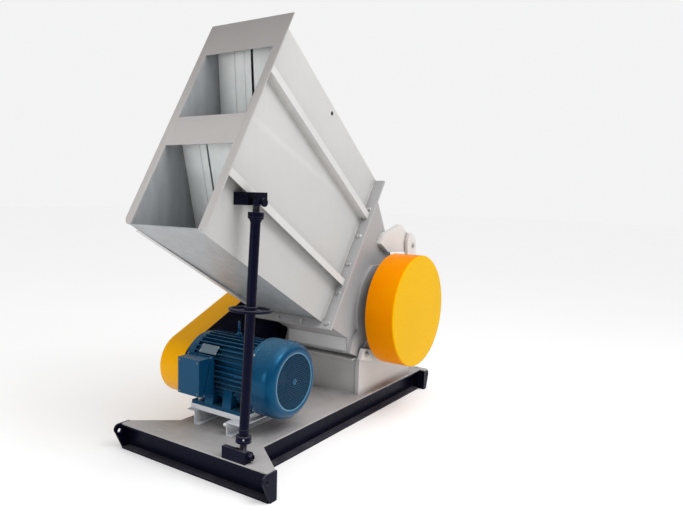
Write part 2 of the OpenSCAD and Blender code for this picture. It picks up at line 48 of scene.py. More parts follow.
# ------------------------------------------------------------------ camera
F_PX, YAW, PITCH, ROLL, PX, PY = 629.548, math.radians(34.545), math.radians(6.246), math.radians(-1.385), 317.543, 262.483
f = Vector((-math.sin(YAW) * math.cos(PITCH), math.cos(YAW) * math.cos(PITCH), -math.sin(PITCH)))
r = Vector((math.cos(YAW), math.sin(YAW), 0.0))
d = f.cross(r)
c_, s_ = math.cos(ROLL), math.sin(ROLL)
right, down = c_ * r + s_ * d, -s_ * r + c_ * d
cam_data = bpy.data.cameras.new("camera")
cam = bpy.data.objects.new("camera", cam_data)
bpy.context.scene.collection.objects.link(cam)
cam_data.sensor_fit = "HORIZONTAL"
cam_data.sensor_width = 36.0
cam_data.lens = F_PX * 36.0 / 683.0
cam_data.shift_x = (341.5 - PX) / 683.0
cam_data.shift_y = (PY - 255.5) / 683.0
cam_data.clip_start, cam_data.clip_end = 0.05, 100.0
m = Matrix.Identity(4)
for i in range(3):
    m[i][0], m[i][1], m[i][2] = right[i], -down[i], -f[i]
m[0][3], m[1][3], m[2][3] = 2.2877, -3.1908, 1.450
cam.matrix_world = m
bpy.context.scene.camera = cam


# ------------------------------------------------------------------ small helpers
def link(o):
    bpy.context.scene.collection.objects.link(o)
    return o


def new_mesh(name, verts, faces):
    me = bpy.data.meshes.new(name)
    me.from_pydata([tuple(v) for v in verts], [], faces)
    me.update()
    return me


def smooth_by_angle(me, deg=35.0):
    """Marks edges sharper than deg, and shades the rest smooth."""
    bm = bmesh.new()
    bm.from_mesh(me)
    lim = math.radians(deg)
    for e in bm.edges:
        e.smooth = not (len(e.link_faces) == 2 and e.calc_face_angle(0.0) > lim)
    for fa in bm.faces:
        fa.smooth = True
    bm.to_mesh(me)
    bm.free()


def bevel(o, width, segs=2, angle=30.0):
    b = o.modifiers.new("bevel", "BEVEL")
    b.width = width
    b.segments = segs
    b.limit_method = "ANGLE"
    b.angle_limit = math.radians(angle)
    b.harden_normals = True
    b.use_clamp_overlap = True
    b.miter_outer = "MITER_ARC"
    return o


def piece(name, me, body, mat, width=0.0, segs=2, angle=30.0, smooth=35.0):
    o = link(bpy.data.objects.new(name, me))
    smooth_by_angle(me, smooth)
    me.materials.clear()
    me.materials.append(mat)
    if width:
        bevel(o, width, segs, angle)
    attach(o, body)
    return o


def refine(node, mat, width=0.001, segs=2, angle=30.0, name=None):
    """A cleaned copy of a node's mesh with merged points and rounded edges."""
    src = NODES[node]
    me = src.data.copy()
    me.transform(src.matrix_world)
    bm = bmesh.new()
    bm.from_mesh(me)
    bmesh.ops.remove_doubles(bm, verts=bm.verts, dist=2e-5)
    bmesh.ops.dissolve_limit(bm, angle_limit=math.radians(0.6), verts=bm.verts, edges=bm.edges, delimit={"NORMAL"})
    bmesh.ops.dissolve_degenerate(bm, dist=2e-5, edges=bm.edges)
    bm.to_mesh(me)
    bm.free()
    o = piece(name or node + "_finished", me, BODY[node], mat, width, segs, angle)
    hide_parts(node)
    return o


# ------------------------------------------------------------------ materials
def nt(name):
    mat = bpy.data.materials.new(name)
    mat.use_nodes = True
    t = mat.node_tree
    for n in list(t.nodes):
        t.nodes.remove(n)
    out = t.nodes.new("ShaderNodeOutputMaterial")
    sh = t.nodes.new("ShaderNodeBsdfPrincipled")
    t.links.new(sh.outputs["BSDF"], out.inputs["Surface"])
    return mat, t, sh


def noise(t, co, scale, detail=4.0, rough=0.5, dist=0.0):
    n = t.nodes.new("ShaderNodeTexNoise")
    n.inputs["Scale"].default_value = scale
    n.inputs["Detail"].default_value = detail
    n.inputs["Roughness"].default_value = rough
    n.inputs["Distortion"].default_value = dist
    t.links.new(co, n.inputs["Vector"])
    return n.outputs["Fac"]


def ramp(t, fac, lo, hi, a=0.0, b=1.0):
    n = t.nodes.new("ShaderNodeMapRange")
    n.clamp = True
    n.inputs["From Min"].default_value = lo
    n.inputs["From Max"].default_value = hi
    n.inputs["To Min"].default_value = a
    n.inputs["To Max"].default_value = b
    t.links.new(fac, n.inputs["Value"])
    return n.outputs["Result"]


def math_(t, op, a, b=None):
    n = t.nodes.new("ShaderNodeMath")
    n.operation = op
    for i, v in enumerate((a, b)):
        if v is None:
            continue
        if isinstance(v, (int, float)):
            n.inputs[i].default_value = v
        else:
            t.links.new(v, n.inputs[i])
    return n.outputs[0]


def mix(t, fac, a, b):
    n = t.nodes.new("ShaderNodeMix")
    n.data_type = "RGBA"
    for s, v in ((0, fac), (6, a), (7, b)):
        if isinstance(v, tuple):
            n.inputs[s].default_value = v if len(v) == 4 else v + (1.0,)
        elif isinstance(v, (int, float)):
            n.inputs[s].default_value = v
        else:
            t.links.new(v, n.inputs[s])
    return n.outputs[2]


def coords(t, scale=(1, 1, 1)):
    tc = t.nodes.new("ShaderNodeTexCoord")
    mp = t.nodes.new("ShaderNodeMapping")
    mp.inputs["Scale"].default_value = scale
    t.links.new(tc.outputs["Object"], mp.inputs["Vector"])
    return mp.outputs["Vector"]


def bump(t, height, strength, dist, normal=None):
    n = t.nodes.new("ShaderNodeBump")
    n.inputs["Strength"].default_value = strength
    n.inputs["Distance"].default_value = dist
    t.links.new(height, n.inputs["Height"])
    if normal is not None:
        t.links.new(normal, n.inputs["Normal"])
    return n.outputs["Normal"]


def ao_mask(t, dist=0.05, lo=0.35, hi=0.95):
    n = t.nodes.new("ShaderNodeAmbientOcclusion")
    n.samples = 4
    n.inputs["Distance"].default_value = dist
    return ramp(t, n.outputs["AO"], lo, hi, 1.0, 0.0)


def edge_mask(t, radius=0.002):
    b = t.nodes.new("ShaderNodeBevel")
    b.samples = 4
    b.inputs["Radius"].default_value = radius
    g = t.nodes.new("ShaderNodeNewGeometry")
    v = t.nodes.new("ShaderNodeVectorMath")
    v.operation = "DOT_PRODUCT"
    t.links.new(b.outputs["Normal"], v.inputs[0])
    t.links.new(g.outputs["Normal"], v.inputs[1])
    return ramp(t, v.outputs["Value"], 0.995, 0.93, 0.0, 1.0)


def paint(name, col, rough=0.34, spread=0.05, dirt_and_shade=0.35, dirt_shade_col=(0.16, 0.14, 0.12), wear_and_edge_light=0.0, wear_edge_light_col=(0.45, 0.44, 0.42),
          peel=0.02, wave=0.03, coat=0.0, metallic=0.0, streak=0.0, dust_and_toplight=0.0, dust_toplight_col=(0.17, 0.165, 0.17), spec=0.5, tint=None, inner=None, rim_shade=None, ao=0.05, top_shade_fade=None):
    """Brushed or sprayed machine paint: tone drift, grime with painted shade in corners, a lighter dusty top with
    painted top light, chipped edges with painted edge highlights, optional painted shade on the cover's cylindrical
    face, the hopper inside and towards heights, orange peel and slightly wavy sheet.
    """
    mat, t, sh = nt(name)
    co = coords(t)
    big = noise(t, co, 1.7, 3.0, 0.55)
    mid = noise(t, co, 11.0, 6.0, 0.62)
    fine = noise(t, co, 70.0, 5.0, 0.6)
    dark = tuple(c * (1 - spread) for c in col)
    light = tuple(min(1.0, c * (1 + spread)) for c in col)
    c = mix(t, ramp(t, big, 0.32, 0.68), dark, light)
    c = mix(t, ramp(t, mid, 0.45, 0.75, 0.0, 0.18), c, tuple(x * 0.90 for x in col))
    if streak:
        cs = coords(t, (9.0, 9.0, 0.9))
        c = mix(t, ramp(t, noise(t, cs, 3.0, 5.0, 0.6), 0.5, 0.8, 0.0, streak), c, tuple(x * 0.8 for x in col))
    if top_shade_fade:  # painted shade: darker towards the upper height in the tuple
        tc = t.nodes.new("ShaderNodeTexCoord")
        sz_ = t.nodes.new("ShaderNodeSeparateXYZ")
        t.links.new(tc.outputs["Object"], sz_.inputs["Vector"])
        k = math_(t, "MULTIPLY", ramp(t, sz_.outputs["Z"], top_shade_fade[0], top_shade_fade[1]), ramp(t, big, 0.2, 0.7, 0.75, 1.0))
        c = mix(t, k, c, tuple(x * top_shade_fade[2] for x in col))
    # painted shade: faces not turned along X, i.e. the cylindrical face of the cover, take a darker, redder orange
    if rim_shade:
        g = t.nodes.new("ShaderNodeNewGeometry")
        sp = t.nodes.new("ShaderNodeSeparateXYZ")
        t.links.new(g.outputs["Normal"], sp.inputs["Vector"])
        k = ramp(t, math_(t, "ABSOLUTE", sp.outputs["X"]), 0.85, 0.35)
        c = mix(t, math_(t, "MULTIPLY", k, ramp(t, mid, 0.2, 0.7, 0.75, 1.0)), c, rim_shade)
    # painted shade: inside the hopper's side walls the paint turns to a darker bluish grey
    if inner:
        tc = t.nodes.new("ShaderNodeTexCoord")
        sx_ = t.nodes.new("ShaderNodeSeparateXYZ")
        t.links.new(tc.outputs["Object"], sx_.inputs["Vector"])
        k = ramp(t, math_(t, "ABSOLUTE", math_(t, "ADD", sx_.outputs["X"], 0.0135)), 0.2352, 0.2345)
        cs = coords(t, (6.0, 6.0, 1.2))
        inner_shade_col = mix(t, ramp(t, noise(t, cs, 3.0, 6.0, 0.65), 0.35, 0.7), inner, tuple(x * 0.78 for x in inner))
        # outside: painted shade darkening the paint lower down, and a painted highlight along a faint crease that runs
        # across the sheet
        lower_shade = ramp(t, sx_.outputs["Z"], 1.75, 0.85, 0.0, 0.55)
        c = mix(t, math_(t, "MULTIPLY", lower_shade, ramp(t, big, 0.2, 0.7, 0.7, 1.0)), c, tuple(x * 0.70 for x in col))
        s1 = math_(t, "SUBTRACT", math_(t, "ADD", sx_.outputs["Z"], math_(t, "MULTIPLY", sx_.outputs["Y"], 0.444)), 1.4644)
        crease_highlight = math_(t, "MULTIPLY", ramp(t, math_(t, "ABSOLUTE", s1), 0.030, 0.004), ramp(t, noise(t, co, 2.6, 3.0, 0.5), 0.30, 0.62, 0.15, 0.42))
        c = mix(t, crease_highlight, c, tuple(min(1.0, x * 1.18) for x in col))
        c = mix(t, k, c, inner_shade_col)
    # grime and painted shade: ambient occlusion darkens corners, recesses and gaps between parts towards the darker
    # colour
    if dirt_and_shade:
        a = ao_mask(t, ao)
        k = math_(t, "MULTIPLY", a, ramp(t, mid, 0.25, 0.7, 0.35, 1.0))
        c = mix(t, math_(t, "MULTIPLY", k, dirt_and_shade), c, dirt_shade_col)
    # worn edges and painted highlight: rounded edges take the edge colour, which on most coats is lighter than the
    # paint and paints a highlight along the arrises
    if wear_and_edge_light:
        e = edge_mask(t)
        k = math_(t, "MULTIPLY", e, ramp(t, noise(t, co, 42.0, 6.0, 0.7), 0.5, 0.62))
        c = mix(t, math_(t, "MULTIPLY", k, wear_and_edge_light), c, wear_edge_light_col)
    rg = ramp(t, fine, 0.3, 0.7, max(0.04, rough - 0.06), rough + 0.10)
    # dusty tops and painted top light: faces turning upwards get a lighter colour and a rougher finish
    if dust_and_toplight:
        g = t.nodes.new("ShaderNodeNewGeometry")
        sp = t.nodes.new("ShaderNodeSeparateXYZ")
        t.links.new(g.outputs["Normal"], sp.inputs["Vector"])
        up = ramp(t, sp.outputs["Z"], 0.35, 0.95)
        k = math_(t, "MULTIPLY", up, ramp(t, noise(t, co, 8.0, 7.0, 0.68), 0.28, 0.66, 0.35, 1.0))
        k = math_(t, "MULTIPLY", k, dust_and_toplight)
        c = mix(t, k, c, dust_toplight_col)
        rg = math_(t, "ADD", rg, math_(t, "MULTIPLY", k, 0.3))
    t.links.new(c, sh.inputs["Base Color"])
    t.links.new(rg, sh.inputs["Roughness"])
    sh.inputs["Specular IOR Level"].default_value = spec
    if tint:
        sh.inputs["Specular Tint"].default_value = tint + (1.0,)
    sh.inputs["Metallic"].default_value = metallic
    sh.inputs["Coat Weight"].default_value = coat
    sh.inputs["Coat Roughness"].default_value = 0.12
    n = bump(t, noise(t, co, 3.1, 2.0, 0.5), wave, 0.02)
    n = bump(t, noise(t, co, 330.0, 3.0, 0.5), peel, 0.001, n)
    t.links.new(n, sh.inputs["Normal"])
    return mat


def metal(name, col, rough=0.3, scale=(1, 1, 1), grain=260.0, strength=0.06, metallic=1.0, rust=0.0):
    """Machined or cast metal with directional grain, stains and a little rust bloom."""
    mat, t, sh = nt(name)
    co = coords(t, scale)
    g = noise(t, co, grain, 4.0, 0.7)
    b = noise(t, coords(t), 6.0, 5.0, 0.6)
    c = mix(t, ramp(t, b, 0.3, 0.7), tuple(x * 0.85 for x in col), tuple(min(1, x * 1.1) for x in col))
    c = mix(t, ramp(t, g, 0.35, 0.75, 0.0, 0.35), c, tuple(x * 0.7 for x in col))
    if rust:
        c = mix(t, ramp(t, noise(t, coords(t), 23.0, 8.0, 0.7), 0.56, 0.72, 0.0, rust), c, (0.20, 0.085, 0.035))
    t.links.new(c, sh.inputs["Base Color"])
    t.links.new(ramp(t, g, 0.3, 0.7, rough - 0.06, rough + 0.14), sh.inputs["Roughness"])
    sh.inputs["Metallic"].default_value = metallic
    t.links.new(bump(t, g, strength, 0.0006), sh.inputs["Normal"])
    return mat


def rubber(name, col, rough=0.62, seams=(), spread=0.08):
    mat, t, sh = nt(name)
    co = coords(t)
    b = noise(t, co, 5.0, 5.0, 0.6)
    fine = noise(t, co, 160.0, 3.0, 0.6)
    c = mix(t, ramp(t, b, 0.3, 0.7), tuple(x * (1 - spread) for x in col), tuple(min(1, x * (1 + spread)) for x in col))
    cs = coords(t, (14.0, 14.0, 0.8))
    c = mix(t, ramp(t, noise(t, cs, 4.0, 5.0, 0.6), 0.52, 0.8, 0.0, 0.30), c, tuple(x * 0.72 for x in col))
    # painted shade: ambient occlusion darkens the rubber where it is hemmed in, such as the curtain tops under the
    # frame
    c = mix(t, math_(t, "MULTIPLY", ao_mask(t, 0.16, 0.25, 0.9), 0.45), c, tuple(x * 0.22 for x in col))
    if seams:
        tc = t.nodes.new("ShaderNodeTexCoord")
        sq = t.nodes.new("ShaderNodeSeparateXYZ")
        t.links.new(tc.outputs["Object"], sq.inputs["Vector"])
        for x0 in seams:
            wavy = math_(t, "ADD", sq.outputs["X"], math_(t, "MULTIPLY", math_(t, "SUBTRACT", b, 0.5), 0.006))
            dx = math_(t, "SUBTRACT", wavy, x0)
            c = mix(t, ramp(t, math_(t, "ABSOLUTE", dx), 0.0022, 0.0010, 0.0, 0.75), c, tuple(x * 0.30 for x in col))
            # painted shadow: the strip's lap throws a soft dark edge to one side
            c = mix(t, ramp(t, math_(t, "ABSOLUTE", math_(t, "SUBTRACT", dx, 0.006)), 0.006, 0.0, 0.0, 0.30), c, tuple(x * 0.6 for x in col))
    t.links.new(c, sh.inputs["Base Color"])
    t.links.new(ramp(t, fine, 0.3, 0.7, rough - 0.08, rough + 0.1), sh.inputs["Roughness"])
    sh.inputs["Specular IOR Level"].default_value = 0.35
    t.links.new(bump(t, fine, 0.08, 0.0008), sh.inputs["Normal"])
    return mat


M = {
    "grey": paint("grey_paint_coat", (0.63, 0.62, 0.61), rough=0.36, spread=0.035, dirt_and_shade=0.35, wave=0.05, streak=0.12, wear_and_edge_light=0.35, wear_edge_light_col=(0.86, 0.86, 0.85)),
    # mouth frame: a darker copy of the grey paint, with painted shade darkening it towards the top
    "frame": paint("mouth_frame_painted_shade_coat", (0.50, 0.475, 0.465), rough=0.40, spread=0.04, dirt_and_shade=0.3, wave=0.04, streak=0.1, wear_and_edge_light=0.4, wear_edge_light_col=(0.85, 0.85, 0.85),
                   top_shade_fade=(1.75, 2.45, 0.52)),
    # hopper walls: the coat paints shade inside the walls and lower down outside, and a highlight along a crease
    "hopper": paint("hopper_sheet_coat", (0.575, 0.57, 0.56), rough=0.36, spread=0.035, dirt_and_shade=0.35, wave=0.05, streak=0.12, wear_and_edge_light=0.35, wear_edge_light_col=(0.86, 0.86, 0.85),
                    inner=(0.36, 0.38, 0.40)),
    # housing walls and the two bolted flanges: darker copies of the grey paint, painted shade for the shadow under the
    # hopper
    "housing": paint("housing_coat", (0.42, 0.415, 0.425), rough=0.38, spread=0.04, dirt_and_shade=0.4, wave=0.04, streak=0.12, wear_and_edge_light=0.45, wear_edge_light_col=(0.80, 0.80, 0.80)),
    "flange": paint("flange_coat", (0.42, 0.415, 0.42), rough=0.38, spread=0.04, dirt_and_shade=0.35, wave=0.03, streak=0.1, wear_and_edge_light=0.45, wear_edge_light_col=(0.82, 0.82, 0.82)),
    "lug": paint("lug_plate_coat", (0.76, 0.75, 0.735), rough=0.36, spread=0.035, dirt_and_shade=0.7, dirt_shade_col=(0.10, 0.10, 0.11), wave=0.03, wear_and_edge_light=0.5, wear_edge_light_col=(0.92, 0.92, 0.91), ao=0.03),
    "beam": paint("beam_coat", (0.88, 0.88, 0.89), rough=0.36, spread=0.04, dirt_and_shade=0.35, wave=0.03, wear_and_edge_light=0.4, wear_edge_light_col=(0.9, 0.9, 0.9)),
    # deck: deep ambient occlusion paints shade under the machine; its face also gets the lighter dusty top with painted
    # top light
    "deck": paint("deck_coat", (0.47, 0.455, 0.45), rough=0.40, spread=0.09, dirt_and_shade=0.75, dirt_shade_col=(0.10, 0.095, 0.105), dust_and_toplight=0.30, dust_toplight_col=(0.58, 0.56, 0.55), ao=0.45),
    "black": paint("black_paint_coat", (0.0030, 0.0030, 0.012), rough=0.30, spread=0.25, dirt_and_shade=0.2, dirt_shade_col=(0.03, 0.028, 0.026), wear_and_edge_light=0.35, wear_edge_light_col=(0.10, 0.10, 0.12),
                   peel=0.05, dust_and_toplight=0.60, dust_toplight_col=(0.13, 0.125, 0.15), spec=0.10, tint=(0.5, 0.55, 1.0)),
    "cover": paint("cover_paint_coat", (0.82, 0.455, 0.0), rough=0.28, spread=0.03, dirt_and_shade=0.3, dirt_shade_col=(0.60, 0.17, 0.001), wave=0.05, spec=0.06, tint=(1.0, 0.70, 0.05),
                   rim_shade=(0.92, 0.26, 0.0)),
    "yellow": paint("yellow_paint_coat", (0.98, 0.45, 0.001), rough=0.30, spread=0.03, dirt_and_shade=0.35, dirt_shade_col=(0.60, 0.17, 0.001), wave=0.05, spec=0.20, tint=(1.0, 0.75, 0.30)),
    "blue": paint("blue_paint_coat", (0.003, 0.046, 0.112), rough=0.17, spread=0.10, dirt_and_shade=0.45, dirt_shade_col=(0.006, 0.02, 0.045), wear_and_edge_light=0.35, wear_edge_light_col=(0.14, 0.32, 0.45),
                  coat=0.0, peel=0.04, dust_and_toplight=0.42, dust_toplight_col=(0.11, 0.24, 0.33), spec=0.50, tint=(0.10, 0.55, 0.95)),
    "blue_dark": paint("grille_blue_coat", (0.006, 0.040, 0.090), rough=0.30, spread=0.12, dirt_and_shade=0.3, dirt_shade_col=(0.002, 0.01, 0.02), spec=0.25, tint=(0.05, 0.5, 0.95)),
    "blue_light": paint("ring_blue_coat", (0.06, 0.20, 0.32), rough=0.3, spread=0.08, dirt_and_shade=0.3, dirt_shade_col=(0.02, 0.06, 0.10), wear_and_edge_light=0.3, wear_edge_light_col=(0.3, 0.45, 0.55)),
    "white": paint("white_paint_coat", (0.76, 0.78, 0.82), rough=0.36, spread=0.04, dirt_and_shade=0.35, wear_and_edge_light=0.2, wear_edge_light_col=(0.3, 0.3, 0.32)),
    "alu": metal("etched_plate_face", (0.26, 0.34, 0.40), 0.46, (0.2, 5, 5), 200.0, 0.05, 0.7),
    "bolt": metal("zinc_bolt_face", (0.60, 0.60, 0.60), 0.34, (1, 1, 1), 180.0, 0.12, 0.85, rust=0.12),
    "bolt_dark": metal("dark_screw_face", (0.16, 0.21, 0.26), 0.38, (1, 1, 1), 180.0, 0.12, 0.7),
    "black_metal": metal("oiled_thread_face", (0.055, 0.055, 0.07), 0.28, (1, 1, 1), 90.0, 0.15, 0.55, rust=0.08),
    "steel": metal("machined_steel", (0.55, 0.56, 0.58), 0.28, (0.15, 6, 6), rust=0.15),
    "tool": metal("ground_tool_steel", (0.66, 0.67, 0.70), 0.22, (0.1, 8, 8)),
    "iron": metal("cast_iron_face", (0.20, 0.205, 0.21), 0.5, (1, 1, 1), 120.0, 0.2, 0.6, rust=0.2),
    "belt": rubber("belt_rubber_face", (0.025, 0.025, 0.027), 0.6),
    "curtain": rubber("curtain_rubber_face", (0.88, 0.91, 0.90), 0.5, seams=(-0.120,)),
    "plastic": rubber("fan_plastic_face", (0.010, 0.012, 0.016), 0.5),
}
SLOT_MAT = {"grey_paint": "grey", "black_paint": "black", "yellow_paint": "yellow", "blue_paint": "blue", "white_paint": "white",
            "bare_steel": "steel", "tool_steel": "tool", "cast_iron": "iron", "belt_rubber": "belt", "curtain_rubber": "curtain", "fan_plastic": "plastic"}
NODE_MAT = {"mouth_frame": "frame", "deck_plate": "deck", "hopper_side_walls": "hopper", "hopper_floor": "hopper",
            "motor_shaft": "black_metal", "upper_side_walls": "housing", "upper_front_wall": "housing", "upper_rear_wall": "housing",
            "cover_brackets": "lug", "hinge_ears": "lug", "hinge_posts": "lug", "hopper_flange": "flange", "housing_flange": "flange", "front_beam": "beam"}

# ------------------------------------------------------------------ detail helpers (sizes in millimetres)
HX, WO, WI = -13.5, 238.0, 233.0
ROT, HINGE, MOT, JL, JU, JX = (558.0, 695.0), (919.0, 1096.0), (-535.0, 440.0), (-959.0, 177.0), (-880.0, 1402.0), 336.5
DECK = 148.0
PLATE = 275.0
JACK_A = math.atan2(JU[0] - JL[0], JU[1] - JL[1])
JACK_L = math.hypot(JU[0] - JL[0], JU[1] - JL[1])


def mv(p):
    return Vector((p[0] * 0.001, p[1] * 0.001, p[2] * 0.001))


def place(origin, axis, up=(0, 0, 1)):
    """Matrix whose local Z runs along axis, origin in millimetres."""
    z = Vector(axis).normalized()
    u = Vector(up)
    if abs(z.dot(u.normalized())) > 0.99:
        u = Vector((1, 0, 0))
    x = u.cross(z).normalized()
    y = z.cross(x)
    mt = Matrix((x, y, z)).transposed().to_4x4()
    mt.translation = mv(origin)
    return mt


def rings(bm, mt, levels, closed=False, cap=True):
    """levels: lists of local (x, y, z) millimetre points, all of the same length, joined by quads."""
    rows = [[bm.verts.new(mt @ mv(p)) for p in lv] for lv in levels]
    n = len(rows[0])
    pairs = list(zip(rows, rows[1:])) + ([(rows[-1], rows[0])] if closed else [])
    for a, b in pairs:
        for i in range(n):
            j = (i + 1) % n
            bm.faces.new((a[i], a[j], b[j], b[i]))
    if cap and not closed:
        bm.faces.new(list(reversed(rows[0])))
        bm.faces.new(rows[-1])


def turn(bm, mt, prof, segs=64, closed=False, cap=True):
    """Turned shape; prof is a list of (z, r)."""
    an = [2 * math.pi * i / segs for i in range(segs)]
    rings(bm, mt, [[(r_ * math.cos(a), r_ * math.sin(a), z_) for a in an] for z_, r_ in prof], closed, cap)


def hexhead(bm, mt, af, z0, z1, segs=36, under=False):
    """Hexagon head or nut between z0 and z1, with the turned chamfer of a real one."""
    an = [2 * math.pi * i / segs for i in range(segs)]
    rr = [af / 2 / math.cos(((a + math.pi / 6) % (math.pi / 3)) - math.pi / 6) for a in an]
    rt = 0.475 * af
    lv = []
    if under:
        lv.append([(rt * math.cos(a), rt * math.sin(a), z0) for a in an])
        lv.append([(q * math.cos(a), q * math.sin(a), z0 + (q - rt) * 0.55) for q, a in zip(rr, an)])
    else:
        lv.append([(q * math.cos(a), q * math.sin(a), z0) for q, a in zip(rr, an)])
    lv.append([(q * math.cos(a), q * math.sin(a), z1 - (q - rt) * 0.55) for q, a in zip(rr, an)])
    lv.append([(rt * math.cos(a), rt * math.sin(a), z1) for a in an])
    lv.append([(rt * 0.93 * math.cos(a), rt * 0.93 * math.sin(a), z1 - 0.25) for a in an])
    rings(bm, mt, lv)


def washer(bm, mt, ro, h, z0=0.0, ri=0.0):
    if ri:
        turn(bm, mt, [(z0, ri), (z0, ro), (z0 + h - 0.5, ro), (z0 + h, ro - 0.5), (z0 + h, ri)], 40, closed=True)
    else:
        turn(bm, mt, [(z0, ro), (z0 + h - 0.5, ro), (z0 + h, ro - 0.5)], 40)


def screw_thread(bm, mt, r_, z0, z1, pitch=6.0, depth=2.6, segs=28, per=5):
    n = max(2, int((z1 - z0) / pitch * per))
    lv = []
    for k in range(n + 1):
        z_ = z0 + (z1 - z0) * k / n
        row = []
        for i in range(segs):
            a = 2 * math.pi * i / segs
            ph = (z_ / pitch - a / (2 * math.pi)) % 1.0
            tri = min(1.0, max(0.0, abs(ph - 0.5) * 3.2 - 0.3))
            q = r_ - depth * tri
            q -= max(0.0, 3 - min(z_ - z0, z1 - z_)) * 0.9
            row.append((q * math.cos(a), q * math.sin(a), z_))
        lv.append(row)
    rings(bm, mt, lv)


def done(bm, name, body, mat, width=0.0, smooth=35.0, node=None, segs=2):
    bmesh.ops.recalc_face_normals(bm, faces=bm.faces)
    me = bpy.data.meshes.new(name)
    bm.to_mesh(me)
    bm.free()
    o = piece(name, me, body, mat, width, segs, 30.0, smooth)
    if node:
        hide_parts(node)
    return o


def plate_x(bm, outer, holes, x0, x1):
    """Flat plate in the Y-Z plane with holes, from x0 to x1."""
    from mathutils.geometry import tessellate_polygon
    loops = [outer] + holes
    flat = [p for lp in loops for p in lp]
    tris = tessellate_polygon([[Vector((p[0], p[1], 0)) for p in lp] for lp in loops])
    va = [bm.verts.new(mv((x0, p[0], p[1]))) for p in flat]
    vb = [bm.verts.new(mv((x1, p[0], p[1]))) for p in flat]
    for t_ in tris:
        if len(set(t_)) == 3:
            bm.faces.new([va[i] for i in t_])
            bm.faces.new([vb[i] for i in reversed(t_)])
    k = 0
    for lp in loops:
        n = len(lp)
        for i in range(n):
            j = (i + 1) % n
            bm.faces.new((va[k + i], va[k + j], vb[k + j], vb[k + i]))
        k += n


def circle_pts(c, r_, n=32):
    return [(c[0] + r_ * math.cos(2 * math.pi * i / n), c[1] + r_ * math.sin(2 * math.pi * i / n)) for i in range(n)]


WELD = {}


def weld(body, pts, r_=3.2, step=1.9, mat="grey"):
    """Ripple weld bead along a path; beads of one body and colour share one mesh."""
    if (body, mat) not in WELD:
        WELD[body, mat] = bmesh.new()
    bm = WELD[body, mat]
    P = [mv(p) * 1000 for p in pts]
    for a, b in zip(P, P[1:]):
        L = (b - a).length
        if L < 6:
            continue
        ax = (b - a) / L
        mt = place(a, ax)
        n = int(L / step)
        rnd = random.Random(int(L * 7))
        lv = []
        wob = 0.0
        for k in range(n + 1):
            z_ = L * k / n
            ph = (k % 3) / 3.0
            wob = 0.8 * wob + rnd.uniform(-0.16, 0.16)
            q = r_ * (0.84 + 0.22 * ph) + wob
            if k in (0, n):
                q *= 0.45
            lv.append([(q * math.cos(t_ * math.pi / 4), q * math.sin(t_ * math.pi / 4), z_ + (0.9 if t_ % 2 else 0.0)) for t_ in range(8)])
        rings(bm, mt, lv)


def off(p, dd, k):
    return (p[0] - k * dd[1], p[1] + k * dd[0])


def ixx(p, u, q, v):
    w = (q[0] - p[0], q[1] - p[1])
    t_ = (w[0] * v[1] - w[1] * v[0]) / (u[0] * v[1] - u[1] * v[0])
    return (p[0] + t_ * u[0], p[1] + t_ * u[1])


def unit(a, b):
    l_ = math.hypot(a, b)
    return (a / l_, b / l_)


MO_P, MO_D = (-1154.0, 1276.6), (math.cos(math.radians(60.2)), math.sin(math.radians(60.2)))
FL_D = (math.cos(math.radians(29.09)), -math.sin(math.radians(29.09)))
WL_D = (math.cos(math.radians(29.94)), -math.sin(math.radians(29.94)))
RF_P, RF_D = (-500.0, 2290.0), (math.cos(math.radians(37.85)), -math.sin(math.radians(37.85)))
FG_P, FG_D = (-149.0, 657.0), (math.cos(math.radians(56.25)), math.sin(math.radians(56.25)))
FG_N = (-FG_D[1], FG_D[0])
MB_P = off(MO_P, MO_D, -5)

CUSTOM = {"flange_bolts", "flywheel_cover", "fan_cowl", "jack_tube", "jack_collar", "jack_upper_screw", "jack_lower_screw",
          "jack_handwheel", "upper_curtain_left", "upper_curtain_middle", "upper_curtain_right", "lower_curtain_left",
          "lower_curtain_right", "curtain_rails"}
WIDTH = {"front_crossbeam": 0.003, "rear_crossbeam": 0.003, "side_rails": 0.003, "lower_side_plates": 0.003, "front_beam": 0.003,
         "terminal_box": 0.006, "motor_frame": 0.0015, "motor_base_plate": 0.002, "jack_upper_bracket": 0.003, "jack_lower_bracket": 0.003,
         "motor_slide_rails": 0.002, "belt_guard": 0.002, "hopper_ribs": 0.0016, "bearing_housings": 0.003}
for n in list(NODES):
    if n not in CUSTOM:
        refine(n, M[NODE_MAT.get(n, SLOT_MAT[SLOT[n]])], WIDTH.get(n, 0.0012), 3 if WIDTH.get(n, 0) >= 0.003 else 2)

# ------------------------------------------------------------------ bolts of the flange joint
bm = bmesh.new()
nrm = (0.0, FG_N[0], FG_N[1])
for bx, by in [(s, 37 + i * 202) for s in (-273, 273) for i in range(5)] + [(-91, 22), (91, 22)]:
    p = (HX + bx, FG_P[0] + by * FG_D[0], FG_P[1] + by * FG_D[1])
    mt = place(p, nrm)
    washer(bm, mt, 16.0, 2.6)
    hexhead(bm, mt, 24.0, 2.6, 10.0)
    washer(bm, place([p[i] - 16 * nrm[i] for i in range(3)], [-q for q in nrm]), 16.0, 2.6)
    mb = place([p[i] - 16 * nrm[i] for i in range(3)], [-q for q in nrm])
    hexhead(bm, mb, 24.0, 2.6, 13.0, under=True)
    screw_thread(bm, mb, 8.0, 8.0, 20.0, 2.0, 1.1, 20, 5)
    turn(bm, mt, [(-16, 8.0), (2, 8.0)], 24)
done(bm, "flange_bolt_set", "tilting_housing", M["bolt"], node="flange_bolts")

